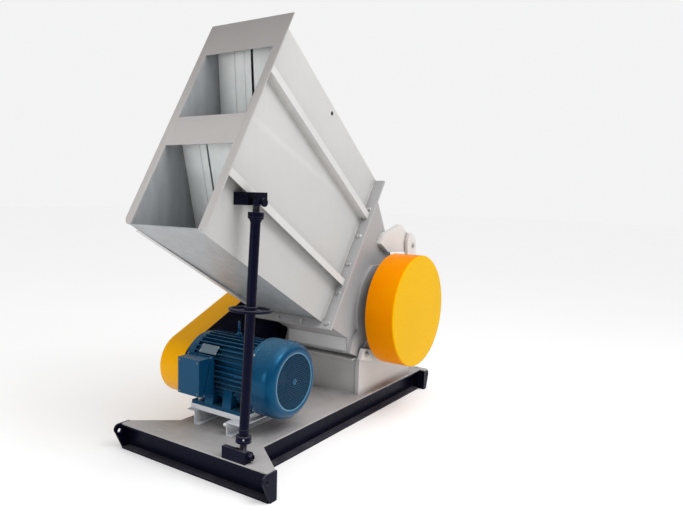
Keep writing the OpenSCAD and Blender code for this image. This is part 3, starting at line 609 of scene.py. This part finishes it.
# ------------------------------------------------------------------ flywheel cover: spun rim, rounded edge, tab with a hole
bm = bmesh.new()
mt = place((0, ROT[0], ROT[1] + 2), (1, 0, 0))
prof = [(331.5, 364.0), (331.5, 366.4), (332.2, 367.0), (517.5, 367.0)]
prof += [(517.5 + 9 * math.sin(a), 358.0 + 9 * math.cos(a)) for a in [math.radians(x) for x in (15, 30, 45, 60, 75, 90)]]
prof += [(526.5, 340.0), (526.5, 240.0), (526.5, 120.0), (526.5, 20.0)]
inner = [(523.5, 20.0), (523.5, 120.0), (523.5, 240.0), (523.5, 357.0), (522.0, 361.0), (517.0, 364.0)]
turn(bm, mt, prof, 192, cap=False)
turn(bm, mt, [(526.5, 20.0), (526.5, 0.5)], 192, cap=False)
turn(bm, mt, inner + [(331.5, 364.0)], 192, cap=False)
turn(bm, mt, [(523.5, 20.0), (523.5, 0.5)], 192, cap=False)
bmesh.ops.remove_doubles(bm, verts=bm.verts, dist=1e-6)
done(bm, "flywheel_cover_shell", "base", M["cover"], node="flywheel_cover")
bm = bmesh.new()
tab = [(480, 352), (484, 347), (500, 338), (545, 332.6), (576, 330), (584, 331), (606, 341), (610, 346), (610, 362), (480, 362)]
plate_x(bm, tab, [list(reversed(circle_pts((545, 340.5), 3.5, 24)))], 331.5, 334.5)
done(bm, "flywheel_cover_tab", "base", M["yellow"], 0.0006)

# ------------------------------------------------------------------ fan cowl with a perforated end
bm = bmesh.new()
mt = place((0, MOT[0], MOT[1]), (1, 0, 0))
arc = [(268 + 62 * math.sin(a), 166 + 47 * math.cos(a)) for a in [math.radians(x) for x in range(0, 91, 9)]]
prof = [(150.0, 210.4), (150.0, 212.4), (150.8, 213.0), (172.0, 213.0), (173.5, 211.6), (176.5, 211.6), (178.0, 213.0)] + arc
prof += [(329.0, 160.0), (327.5, 158.0), (324.0, 157.0), (322.0, 157.5)]
prof += [(268 + 59 * math.sin(a), 166 + 44 * math.cos(a)) for a in [math.radians(x) for x in range(90, -1, -15)]]
turn(bm, mt, prof, 128, closed=True)
done(bm, "fan_cowl_shell", "motor", M["blue"], node="fan_cowl", smooth=28)
bm = bmesh.new()
cell, hole = 8.1, 5.5
for a_ in range(-14, 15):
    for b_ in range(-14, 15):
        cy, cz = cell * math.sqrt(3) * (a_ + b_ / 2), cell * 1.5 * b_
        rad = math.hypot(cy, cz)
        if rad > 156 or rad < 17:
            continue
        an = [math.radians(30 + 60 * i) for i in range(6)]
        bulge = 3.0 * (1 - (rad / 160) ** 2)
        o_ = [(cy + cell * math.cos(q), cz + cell * math.sin(q)) for q in an]
        i_ = [(cy + hole * math.cos(q), cz + hole * math.sin(q)) for q in an]
        lv = [[(0, p[0], p[1]) for p in i_], [(0, p[0], p[1]) for p in o_], [(1, p[0], p[1]) for p in o_], [(1, p[0], p[1]) for p in i_]]
        x0, x1 = 322.0 + bulge, 324.0 + bulge
        rows = [[bm.verts.new(mv(((x0 if p[0] == 0 else x1), MOT[0] + p[1], MOT[1] + p[2]))) for p in lv_] for lv_ in lv]
        for ra, rb in ((0, 1), (2, 3), (3, 0)):
            for i in range(6):
                j = (i + 1) % 6
                bm.faces.new((rows[ra][i], rows[ra][j], rows[rb][j], rows[rb][i]))
done(bm, "fan_grille", "motor", M["blue_dark"], smooth=20)
bm = bmesh.new()
turn(bm, mt, [(322.5, 151.0), (327.6, 151.6), (328.6, 153.5), (328.9, 156.0), (328.6, 158.5), (327.5, 160.4), (322.5, 161.0)], 128, closed=True)
done(bm, "grille_ring", "motor", M["blue_light"])
bm = bmesh.new()
lv = []
for z_, k in ((324.5, 1.0), (328.0, 1.0), (329.3, 0.86), (329.3, 0.3)):
    lv.append([(k * (19 + 3.2 * math.cos(6 * t_)) * math.cos(t_), k * (19 + 3.2 * math.cos(6 * t_)) * math.sin(t_), z_)
               for t_ in [2 * math.pi * i / 72 for i in range(72)]])
rings(bm, mt, lv)
done(bm, "grille_hub", "motor", M["blue"], smooth=30)
bm = bmesh.new()
for k in range(4):
    a = math.radians(45 + 90 * k)
    mq = place((166, MOT[0] + 211.8 * math.cos(a), MOT[1] + 211.8 * math.sin(a)), (0, math.cos(a), math.sin(a)))
    washer(bm, mq, 7.0, 1.2)
    hexhead(bm, mq, 10.0, 1.2, 5.0)
done(bm, "cowl_screws", "motor", M["bolt"])

# ------------------------------------------------------------------ motor: end shields, plate, terminal box, gland, foot washers
bm = bmesh.new()
turn(bm, place((-319.5, MOT[0], MOT[1]), (-1, 0, 0)), [(0, 120), (3, 118), (9, 112), (11.5, 104), (11.5, 62), (8, 58), (8, 40), (11, 37), (11, 29)], 96, cap=False)
for k in range(8):
    a = math.radians(22.5 + 45 * k)
    mq = place((-319.5, MOT[0] + 158 * math.cos(a), MOT[1] + 158 * math.sin(a)), (-1, 0, 0))
    washer(bm, mq, 10.0, 1.6)
    hexhead(bm, mq, 15.0, 1.6, 9.0)
for k in range(4):
    a = math.radians(45 + 90 * k)
    mq = place((-331.5, MOT[0] + 84 * math.cos(a), MOT[1] + 84 * math.sin(a)), (-1, 0, 0))
    hexhead(bm, mq, 12.0, 0.0, 5.0)
done(bm, "drive_end_cap_and_bolts", "motor", M["blue"], smooth=30)

# blank rating plate with rivets on a pad over the fins
bm = bmesh.new()
an0, an1 = math.radians(131), math.radians(147)
rows_in, rows_out = [], []
NPL = 10
for i in range(NPL + 1):
    a = an0 + (an1 - an0) * i / NPL
    rows_out.append((MOT[0] + 198.2 * math.cos(a), MOT[1] + 198.2 * math.sin(a)))
    rows_in.append((MOT[0] + 196.0 * math.cos(a), MOT[1] + 196.0 * math.sin(a)))
lv = rows_out + rows_in[::-1]
plate_x(bm, lv, [], -224.0, -98.0)
done(bm, "blank_plate", "motor", M["alu"], 0.0005)
bm = bmesh.new()
for x_ in (-218.0, -104.0):
    for q in (0.12, 0.88):
        a = an0 + (an1 - an0) * q
        mq = place((x_, MOT[0] + 198.2 * math.cos(a), MOT[1] + 198.2 * math.sin(a)), (0, math.cos(a), math.sin(a)))
        turn(bm, mq, [(0, 4.2), (0.9, 3.9), (1.8, 2.9), (2.4, 1.3)], 24)
done(bm, "plate_rivets", "motor", M["steel"], smooth=50)

bm = bmesh.new()
tb_d = (0.2504, 0.9681)
for x_ in (-241.5, -70.5):
    for k in (9, 215):
        mq = place((x_, -816 + k * tb_d[0], 342 + k * tb_d[1]), (0, -tb_d[1], tb_d[0]))
        washer(bm, mq, 6.0, 1.0)
        hexhead(bm, mq, 9.0, 1.0, 5.5)
for x_ in (-222, -90):
    for z_ in (362, 534):
        mq = place((x_, -847, z_), (0, -1, 0))
        washer(bm, mq, 6.4, 1.2, z0=-0.2)
        turn(bm, mq, [(0.8, 5.2), (2.6, 5.0), (3.8, 3.8), (4.1, 2.0)], 28)
done(bm, "terminal_box_screws", "motor", M["bolt_dark"])
bm = bmesh.new()
for z0_, z1_ in ((352, 356), (540, 544)):
    rings(bm, Matrix.Identity(4), [[(x, y, z_) for x, y in ((-237.2, -843), (-74.8, -843), (-74.8, -836), (-237.2, -836))] for z_ in (z0_, z1_)])
for x_ in (-237.2, -77.0):
    rings(bm, Matrix.Identity(4), [[(x, y, z_) for x, y in ((x_, -843), (x_ + 2.2, -843), (x_ + 2.2, -836), (x_, -836))] for z_ in (356, 540)])
done(bm, "terminal_box_seam", "motor", M["blue_dark"], 0.0005)
bm = bmesh.new()
mq = place((-236, -764, 410), (-1, 0, 0))
hexhead(bm, mq, 38.0, 8.0, 20.0, under=True)
turn(bm, mq, [(20, 17.2), (22, 17.6), (29, 17.6), (32, 16.2), (33.5, 14.0), (33.5, 11.2), (10, 11.2)], 48, cap=False)
screw_thread(bm, mq, 17.6, 0.0, 8.2, 2.0, 0.8, 40, 5)
done(bm, "cable_gland", "motor", M["plastic"])
bm = bmesh.new()
mq = place((-155, -780, 350), (0, 0, -1))
turn(bm, mq, [(0, 23.0), (3, 23.0), (4, 22.0), (14.0, 22.0), (16.5, 20.0), (16.5, 12.0), (15.0, 10.0)], 48)
done(bm, "entry_plug", "motor", M["blue"])
bm = bmesh.new()
for x_ in (-214, 106.5):
    for s in (-1, 1):
        mq = place((x_, MOT[0] + s * 159, 274), (0, 0, 1))
        washer(bm, mq, 18.0, 3.0)
        hexhead(bm, mq, 24.0, 3.0, 13.0)
        screw_thread(bm, mq, 8.0, 11.0, 22.0, 2.0, 1.1, 20, 5)
for x_ in (-232, 86):
    for y_ in (-600, -470):
        mq = place((x_, y_, 254), (0, 0, 1))
        washer(bm, mq, 16.0, 2.5)
        hexhead(bm, mq, 24.0, 2.5, 9.0)
done(bm, "motor_base_bolts", "motor", M["bolt"])
bm = bmesh.new()
mq = place((-71, MOT[0], MOT[1] + 204), (0, 0, 1))
turn(bm, mq, [(0, 17.5), (1.5, 18.0), (4.5, 16.8), (6, 12.0), (9, 9.0)], 48)
done(bm, "eyebolt_collar", "motor", M["blue"])

# ------------------------------------------------------------------ jack: threads, collars, tube, handwheel
jdir = (0.0, math.sin(JACK_A), math.cos(JACK_A))


def jack_at(k):
    return place((JX, JL[0] + k * jdir[1], JL[1] + k * jdir[2]), jdir, up=(1, 0, 0))


bm = bmesh.new()
screw_thread(bm, jack_at(0), 18.5, 14, 560, 7.0, 2.6)
turn(bm, place((JX - 18.5, JL[0], JL[1]), (1, 0, 0)), [(0, 10.2), (0, 18.3), (1.2, 19.5), (35.8, 19.5), (37, 18.3), (37, 10.2)], 56, closed=True)
turn(bm, jack_at(0), [(12, 13.5), (15, 15.5), (19, 16.5)], 40)
done(bm, "jack_lower_thread", "jack_foot_screw", M["black_metal"], node="jack_lower_screw")
bm = bmesh.new()
screw_thread(bm, jack_at(0), 18.5, 670, JACK_L + 17.5, 7.0, 2.6)
done(bm, "jack_upper_thread", "jack_head_screw", M["black_metal"], node="jack_upper_screw")
bm = bmesh.new()
turn(bm, jack_at(0), [(62, 19.2), (62, 36.5), (64.5, 39), (74, 39), (75.2, 37.6), (77, 37.6), (78.2, 39), (93.5, 39), (96, 36.5), (96, 19.2)], 72, closed=True)
done(bm, "jack_lower_collar", "jack_nut", M["black"], node="jack_collar")
bm = bmesh.new()
for k in range(4):
    a = math.radians(40 + 90 * k)
    dv = jack_at(86).to_3x3() @ Vector((math.cos(a), math.sin(a), 0))
    c0 = jack_at(86).translation * 1000 + dv * 38.8
    turn(bm, place(c0, dv), [(0, 5.0), (0.8, 4.6), (1.4, 3.0), (1.6, 1.0)], 20)
done(bm, "jack_collar_plugs", "jack_nut", M["steel"])
bm = bmesh.new()
turn(bm, jack_at(0), [(96, 20.5), (96, 24.5), (118, 24.5), (119, 26.4), (127, 26.4), (128, 24.5), (1130, 24.5), (1131, 26.4), (1138, 27.5),
                      (1147.5, 33), (1148, 36.8), (1150, 39), (1156, 39), (1157, 37.8), (1159, 37.8), (1160, 39), (1177.5, 39), (1180, 36.8), (1180, 19.2), (1148, 19.2), (1147, 20.5)], 72, closed=True)
done(bm, "jack_barrel_tube", "jack_barrel", M["black"], node="jack_tube")
bm = bmesh.new()
mh = jack_at(711)
an = [2 * math.pi * i / 20 for i in range(20)]
rows = []
NW = 128
for i in range(NW):
    t_ = 2 * math.pi * i / NW
    grip = 1.0 - 0.05 * (0.5 + 0.5 * math.cos(24 * t_))
    row = []
    for a in an:
        rr_ = 100 + 8 * grip * math.cos(a)
        row.append(bm.verts.new(mh @ mv((rr_ * math.cos(t_), rr_ * math.sin(t_), 8 * grip * math.sin(a)))))
    rows.append(row)
for i in range(NW):
    a_, b_ = rows[i], rows[(i + 1) % NW]
    for k in range(20):
        l_ = (k + 1) % 20
        bm.faces.new((a_[k], a_[l_], b_[l_], b_[k]))
for ang in (90, 210, 330):
    t_ = math.radians(ang)
    md = mh @ Matrix.Rotation(t_, 4, "Z") @ Matrix.Rotation(math.pi / 2, 4, "Y")
    lv = []
    for k in range(13):
        q = k / 12
        w_ = 9.0 - 3.2 * math.sin(math.pi * min(1.0, q * 1.05)) * 0.9 + (2.5 * (1 - q) ** 3)
        h_ = 6.0 - 2.2 * math.sin(math.pi * q)
        lv.append([(h_ * math.cos(b), w_ * math.sin(b), 28 + 70 * q) for b in [2 * math.pi * i / 24 for i in range(24)]])
    rings(bm, md, lv)
turn(bm, mh, [(-16, 24.6), (-16, 31.5), (-14, 34), (-5, 34), (-3, 35), (3, 35), (5, 34), (14, 34), (16, 31.5), (16, 24.6)], 64, closed=True)
gs = mh.to_3x3() @ Vector((math.cos(0.6), math.sin(0.6), 0))
hexhead(bm, place(mh.translation * 1000 + gs * 33.5, gs), 10, 0, 3.5)
done(bm, "jack_wheel", "jack_barrel", M["black"], node="jack_handwheel", smooth=40)

# ------------------------------------------------------------------ curtains: hanging rubber with a soft bow, and their rails
up_a, lo_a = math.radians(4.5), math.radians(12.7)
for node, (py_, pz_), ang, x0, x1, ln, ph in (
        ("upper_curtain_left", (-548, 2291), up_a, -244, -53, 600, 0.4), ("upper_curtain_middle", (-548, 2291), up_a, -51, -6, 600, 1.9),
        ("upper_curtain_right", (-548, 2291), up_a, 12, 217, 600, 3.1), ("lower_curtain_left", (-832, 1803), lo_a, -244, -72, 814, 4.4),
        ("lower_curtain_right", (-832, 1803), lo_a, -60, 217, 814, 5.7)):
    bm = bmesh.new()
    base_m = Matrix.Translation(mv((0, py_, pz_))) @ Matrix.Rotation(ang, 4, "X")
    nx, nz = max(4, int((x1 - x0) / 9)), 48
    grid = {}
    for side in (-1, 1):
        for i in range(nx + 1):
            for k in range(nz + 1):
                u_, w_ = i / nx, k / nz
                z_ = -9 - (ln - 9) * w_
                bow = 1.5 * math.sin(2.2 * math.pi * u_ + ph + 1.3 * w_) * min(1.0, w_ * 4) + 0.6 * math.sin(9 * w_ + ph)
                edge = 0.5 if i in (0, nx) or k == nz else 0.0
                grid[side, i, k] = bm.verts.new(base_m @ mv((x0 + (x1 - x0) * u_, side * (1.9 - edge) + bow, z_)))
    for i in range(nx):
        for k in range(nz):
            bm.faces.new((grid[-1, i, k], grid[-1, i + 1, k], grid[-1, i + 1, k + 1], grid[-1, i, k + 1]))
            bm.faces.new((grid[1, i, k], grid[1, i, k + 1], grid[1, i + 1, k + 1], grid[1, i + 1, k]))
    for i in range(nx):
        for k in (0, nz):
            bm.faces.new((grid[-1, i, k], grid[-1, i + 1, k], grid[1, i + 1, k], grid[1, i, k]))
    for k in range(nz):
        for i in (0, nx):
            bm.faces.new((grid[-1, i, k], grid[-1, i, k + 1], grid[1, i, k + 1], grid[1, i, k]))
    turn(bm, place((x0, py_, pz_), (1, 0, 0)), [(0, 8.2), (0, 11.3), (0.7, 12), (x1 - x0 - 0.7, 12), (x1 - x0, 11.3), (x1 - x0, 8.2)], 40, closed=True)
    # clamp seam under the loop
    for side in (-1, 1):
        ms = base_m @ Matrix.Translation(mv((0, side * 3.0, -24)))
        rings(bm, ms, [[(x, -0.9, -9), (x, 0.9, -9), (x, 0.9, 9), (x, -0.9, 9)] for x in (x0 + 2, x1 - 2)])
    done(bm, node + "_sheet", BODY[node], M["curtain"], node=node, smooth=50)
    bm = bmesh.new()
    nr = max(2, int((x1 - x0) / 42))
    for i in range(nr):
        x_ = x0 + (x1 - x0) * (i + 0.5) / nr
        q = base_m @ mv((x_, -3.6, -24))
        nd = base_m.to_3x3() @ Vector((0, -1, 0))
        turn(bm, place(q * 1000, nd), [(0, 4.6), (0.8, 4.3), (1.6, 3.2), (2.0, 1.4)], 20)
    done(bm, node + "_rivets", BODY[node], M["steel"], smooth=50)
bm = bmesh.new()
for p_ in ((-548, 2291), (-832, 1803)):
    turn(bm, place((HX - WI + 0.2, p_[0], p_[1]), (1, 0, 0)), [(0, 8), (2 * WI - 0.4, 8)], 40)
done(bm, "curtain_rods", "tilting_housing", M["steel"], node="curtain_rails")
# nuts of the rods and hose washers outside the side walls
bm = bmesh.new()
for p_ in ((-548, 2291), (-832, 1803)):
    for s in (-1, 1):
        mq = place((HX + s * WO, p_[0], p_[1]), (s, 0, 0))
        washer(bm, mq, 13.0, 2.0)
        hexhead(bm, mq, 17.0, 2.0, 9.0)
done(bm, "curtain_rod_nuts", "tilting_housing", M["grey"])

# ------------------------------------------------------------------ belt tension screw at the end of the right rail
bm = bmesh.new()
mq = place((57, -775, 212), (0, -1, 0))
turn(bm, mq, [(0, 7.0), (2, 7.0)] + [(10 + 10.5 * math.sin(a), 10.5 * math.cos(a)) for a in [math.radians(x) for x in range(-50, 90, 14)]], 32)
screw_thread(bm, place((57, -775, 212), (0, 1, 0)), 5.0, -1.0, 26.0, 1.75, 0.9, 20, 5)
done(bm, "tension_screw", "base", M["white"], smooth=50)

# ------------------------------------------------------------------ bearing bolts, hinge bolts, foot bolts
bm = bmesh.new()
for s in (-1, 1):
    for a in (0, 90, 180, 270):
        y_, z_ = ROT[0] + 135 * math.cos(math.radians(a)), ROT[1] + 135 * math.sin(math.radians(a))
        mq = place((HX + s * (PLATE + 24), y_, z_), (s, 0, 0))
        washer(bm, mq, 15.0, 2.5)
        hexhead(bm, mq, 24.0, 2.5, 12.5)
    for k in range(6):
        a = math.radians(60 * k)
        mq = place((HX + s * (PLATE + 60), ROT[0] + 70 * math.cos(a), ROT[1] + 70 * math.sin(a)), (s, 0, 0))
        hexhead(bm, mq, 13.0, 0.0, 5.0)
mq = place((287, 301, 418), (1, 0, 0))
washer(bm, mq, 20.0, 2.5)
hexhead(bm, mq, 28.0, 2.5, 12.0)
screw_thread(bm, mq, 8.0, 10.0, 16.0, 2.0, 1.1, 20, 5)
done(bm, "bearing_bolts", "base", M["bolt"])
bm = bmesh.new()
for s in (-1, 1):
    mq = place((HX + s * (PLATE + 25), HINGE[0], HINGE[1]), (s, 0, 0))
    washer(bm, mq, 19.0, 2.5)
    hexhead(bm, mq, 25.0, 2.5, 10.0)
    for y_, z_ in ((880, 900), (955, 900), (880, 985), (955, 985)):
        mq = place((HX + s * (PLATE + 25), y_, z_), (s, 0, 0))
        washer(bm, mq, 12.0, 2.0)
        hexhead(bm, mq, 18.0, 2.0, 9.0)
for y_, x_ in [(y, x) for y in (-968, 1110) for x in (-270, -90, 90, 270)]:
    if y_ > 0:
        mq = place((x_, y_, DECK), (0, 0, 1))
        washer(bm, mq, 12.0, 2.0)
        hexhead(bm, mq, 18.0, 2.0, 9.0)
done(bm, "hinge_post_bolts", "base", M["bolt"])

# ------------------------------------------------------------------ weld beads
for s in (-1, 1):
    X = HX + s * (WO + 0.6)
    for p_, d_, ks in (((-986, 1563), unit(993, -613), (0.8, -5.8)), ((-710, 2043), unit(962, -725), (-0.8, 5.8))):
        for k in ks:
            a = ixx(off(p_, d_, k), d_, MB_P, MO_D)
            b = ixx(off(p_, d_, k), d_, off(FG_P, FG_D, 1), FG_D)
            weld("tilting_housing", [(X, a[0] + 2, a[1]), (X, b[0], b[1])], 2.6)
    a = off(MB_P, MO_D, -0.8)
    weld("tilting_housing", [(X, a[0] + 40 * MO_D[0], a[1] + 40 * MO_D[1]), (X, a[0] + 1225 * MO_D[0], a[1] + 1225 * MO_D[1])], 2.6)
    for k, e0, e1 in ((0.9, 62, 1026), (-16.9, 62, 1026)):
        a = off(FG_P, FG_D, k)
        weld("tilting_housing", [(X, a[0] + e0 * FG_D[0], a[1] + e0 * FG_D[1]), (X, a[0] + e1 * FG_D[0], a[1] + e1 * FG_D[1])], 2.8)
    ear = [(781, 1247), (551, 1190), (503, 1127), (603, 1065), (785, 1056)]
    for a, b in zip(ear, ear[1:]):
        weld("tilting_housing", [(X, a[0], a[1]), (X, b[0], b[1])], 3.2)
    XP = HX + s * (PLATE + 0.6)
    weld("base", [(XP, 262, DECK + 0.6), (XP, 980, DECK + 0.6)], 3.4)
    for a, b in (((856, 866), (845, 1000)), ((862, 860.6), (974, 860.6))):
        weld("base", [(XP, a[0], a[1]), (XP, b[0], b[1])], 3.2)
    # crossbeam and side rail joints, lug plates
    for x_, y0, y1 in ((s * 304.4, -939.4, -939.4),):
        weld("base", [(x_, y0, 6), (x_, y1, 134)], 3.2, mat="black")
    weld("base", [(s * 304.4, 1081.4, 6), (s * 304.4, 1081.4, 134)], 3.2, mat="black")
    weld("base", [(s * 250, -939.5, DECK - 0.2), (s * 300, -939.5, DECK - 0.2)], 2.0)
for s in (-1, 1):
    weld("base", [(HX + s * 244.2, 938.6, DECK + 4), (HX + s * 244.2, 938.6, 996)], 3.2)
    for y_ in (300, 560, 820):
        weld("base", [(s * 304.2, y_, DECK - 0.4), (s * 304.2, y_ + 60, DECK - 0.4)], 2.2)
weld("base", [(HX - 240, 938.8, DECK + 0.6), (HX + 240, 938.8, DECK + 0.6)], 3.4)
for y_ in (455.0,):
    weld("tilting_housing", [(HX - WI + 3, 223, 455), (HX + WI - 8, 223, 455)], 2.4)
weld("base", [(HX - 244, 257 + 9.4, DECK + 0.4), (HX + 244, 257 + 9.4, DECK + 0.4)], 3.0)
for (body, colour), bm in WELD.items():
    done(bm, "weld_beads_" + body + "_" + colour, body, M[colour], smooth=60)

# ------------------------------------------------------------------ floor and light
bm = bmesh.new()
bmesh.ops.create_grid(bm, x_segments=8, y_segments=8, size=40.0)
me = bpy.data.meshes.new("floor")
bm.to_mesh(me)
bm.free()
floor = link(bpy.data.objects.new("floor", me))
fm, ft, fs = nt("pale_floor")
fco = coords(ft)
ft.links.new(mix(ft, noise(ft, fco, 0.8, 3.0), (0.86, 0.86, 0.865), (0.90, 0.90, 0.90)), fs.inputs["Base Color"])
fs.inputs["Roughness"].default_value = 0.8
fs.inputs["Specular IOR Level"].default_value = 0.1
fs.inputs["Emission Color"].default_value = (1.0, 1.0, 1.0, 1.0)
fs.inputs["Emission Strength"].default_value = 0.20
me.materials.append(fm)


def area(name, loc, target, size, power, col=(1, 1, 1), size_y=None):
    ld = bpy.data.lights.new(name, "AREA")
    ld.shape = "RECTANGLE"
    ld.size, ld.size_y = size, size_y or size
    ld.energy = power
    ld.color = col
    o = link(bpy.data.objects.new(name, ld))
    o.location = loc
    o.rotation_euler = (Vector(target) - Vector(loc)).to_track_quat("-Z", "Y").to_euler()
    return o


area("key_right", (3.6, -0.6, 4.3), (0, -0.1, 1.2), 2.2, 88, size_y=2.2)
area("front", (-1.2, -5.2, 1.6), (0, 0, 0.7), 2.2, 46, size_y=1.8)
sun_data = bpy.data.lights.new("soft_sky", "SUN")
sun_data.energy = 1.6
sun_data.angle = math.radians(60)
sun = link(bpy.data.objects.new("soft_sky", sun_data))
sun.rotation_euler = Vector((0.36, 0.02, 0.93)).to_track_quat("Z", "Y").to_euler()
world = bpy.data.worlds.new("studio")
bpy.context.scene.world = world
world.use_nodes = True
wt = world.node_tree
bg = wt.nodes["Background"]
bg.inputs["Color"].default_value = (1.0, 1.0, 1.0, 1.0)
bg.inputs["Strength"].default_value = 0.33
sky = wt.nodes.new("ShaderNodeBackground")  # the plain white behind the floor
sky.inputs["Color"].default_value = (0.90, 0.90, 0.905, 1.0)
sky.inputs["Strength"].default_value = 1.0
path, ms = wt.nodes.new("ShaderNodeLightPath"), wt.nodes.new("ShaderNodeMixShader")
wt.links.new(path.outputs["Is Camera Ray"], ms.inputs[0])
wt.links.new(bg.outputs["Background"], ms.inputs[1])
wt.links.new(sky.outputs["Background"], ms.inputs[2])
wt.links.new(ms.outputs["Shader"], wt.nodes["World Output"].inputs["Surface"])
bpy.context.scene.view_settings.view_transform = "Standard"
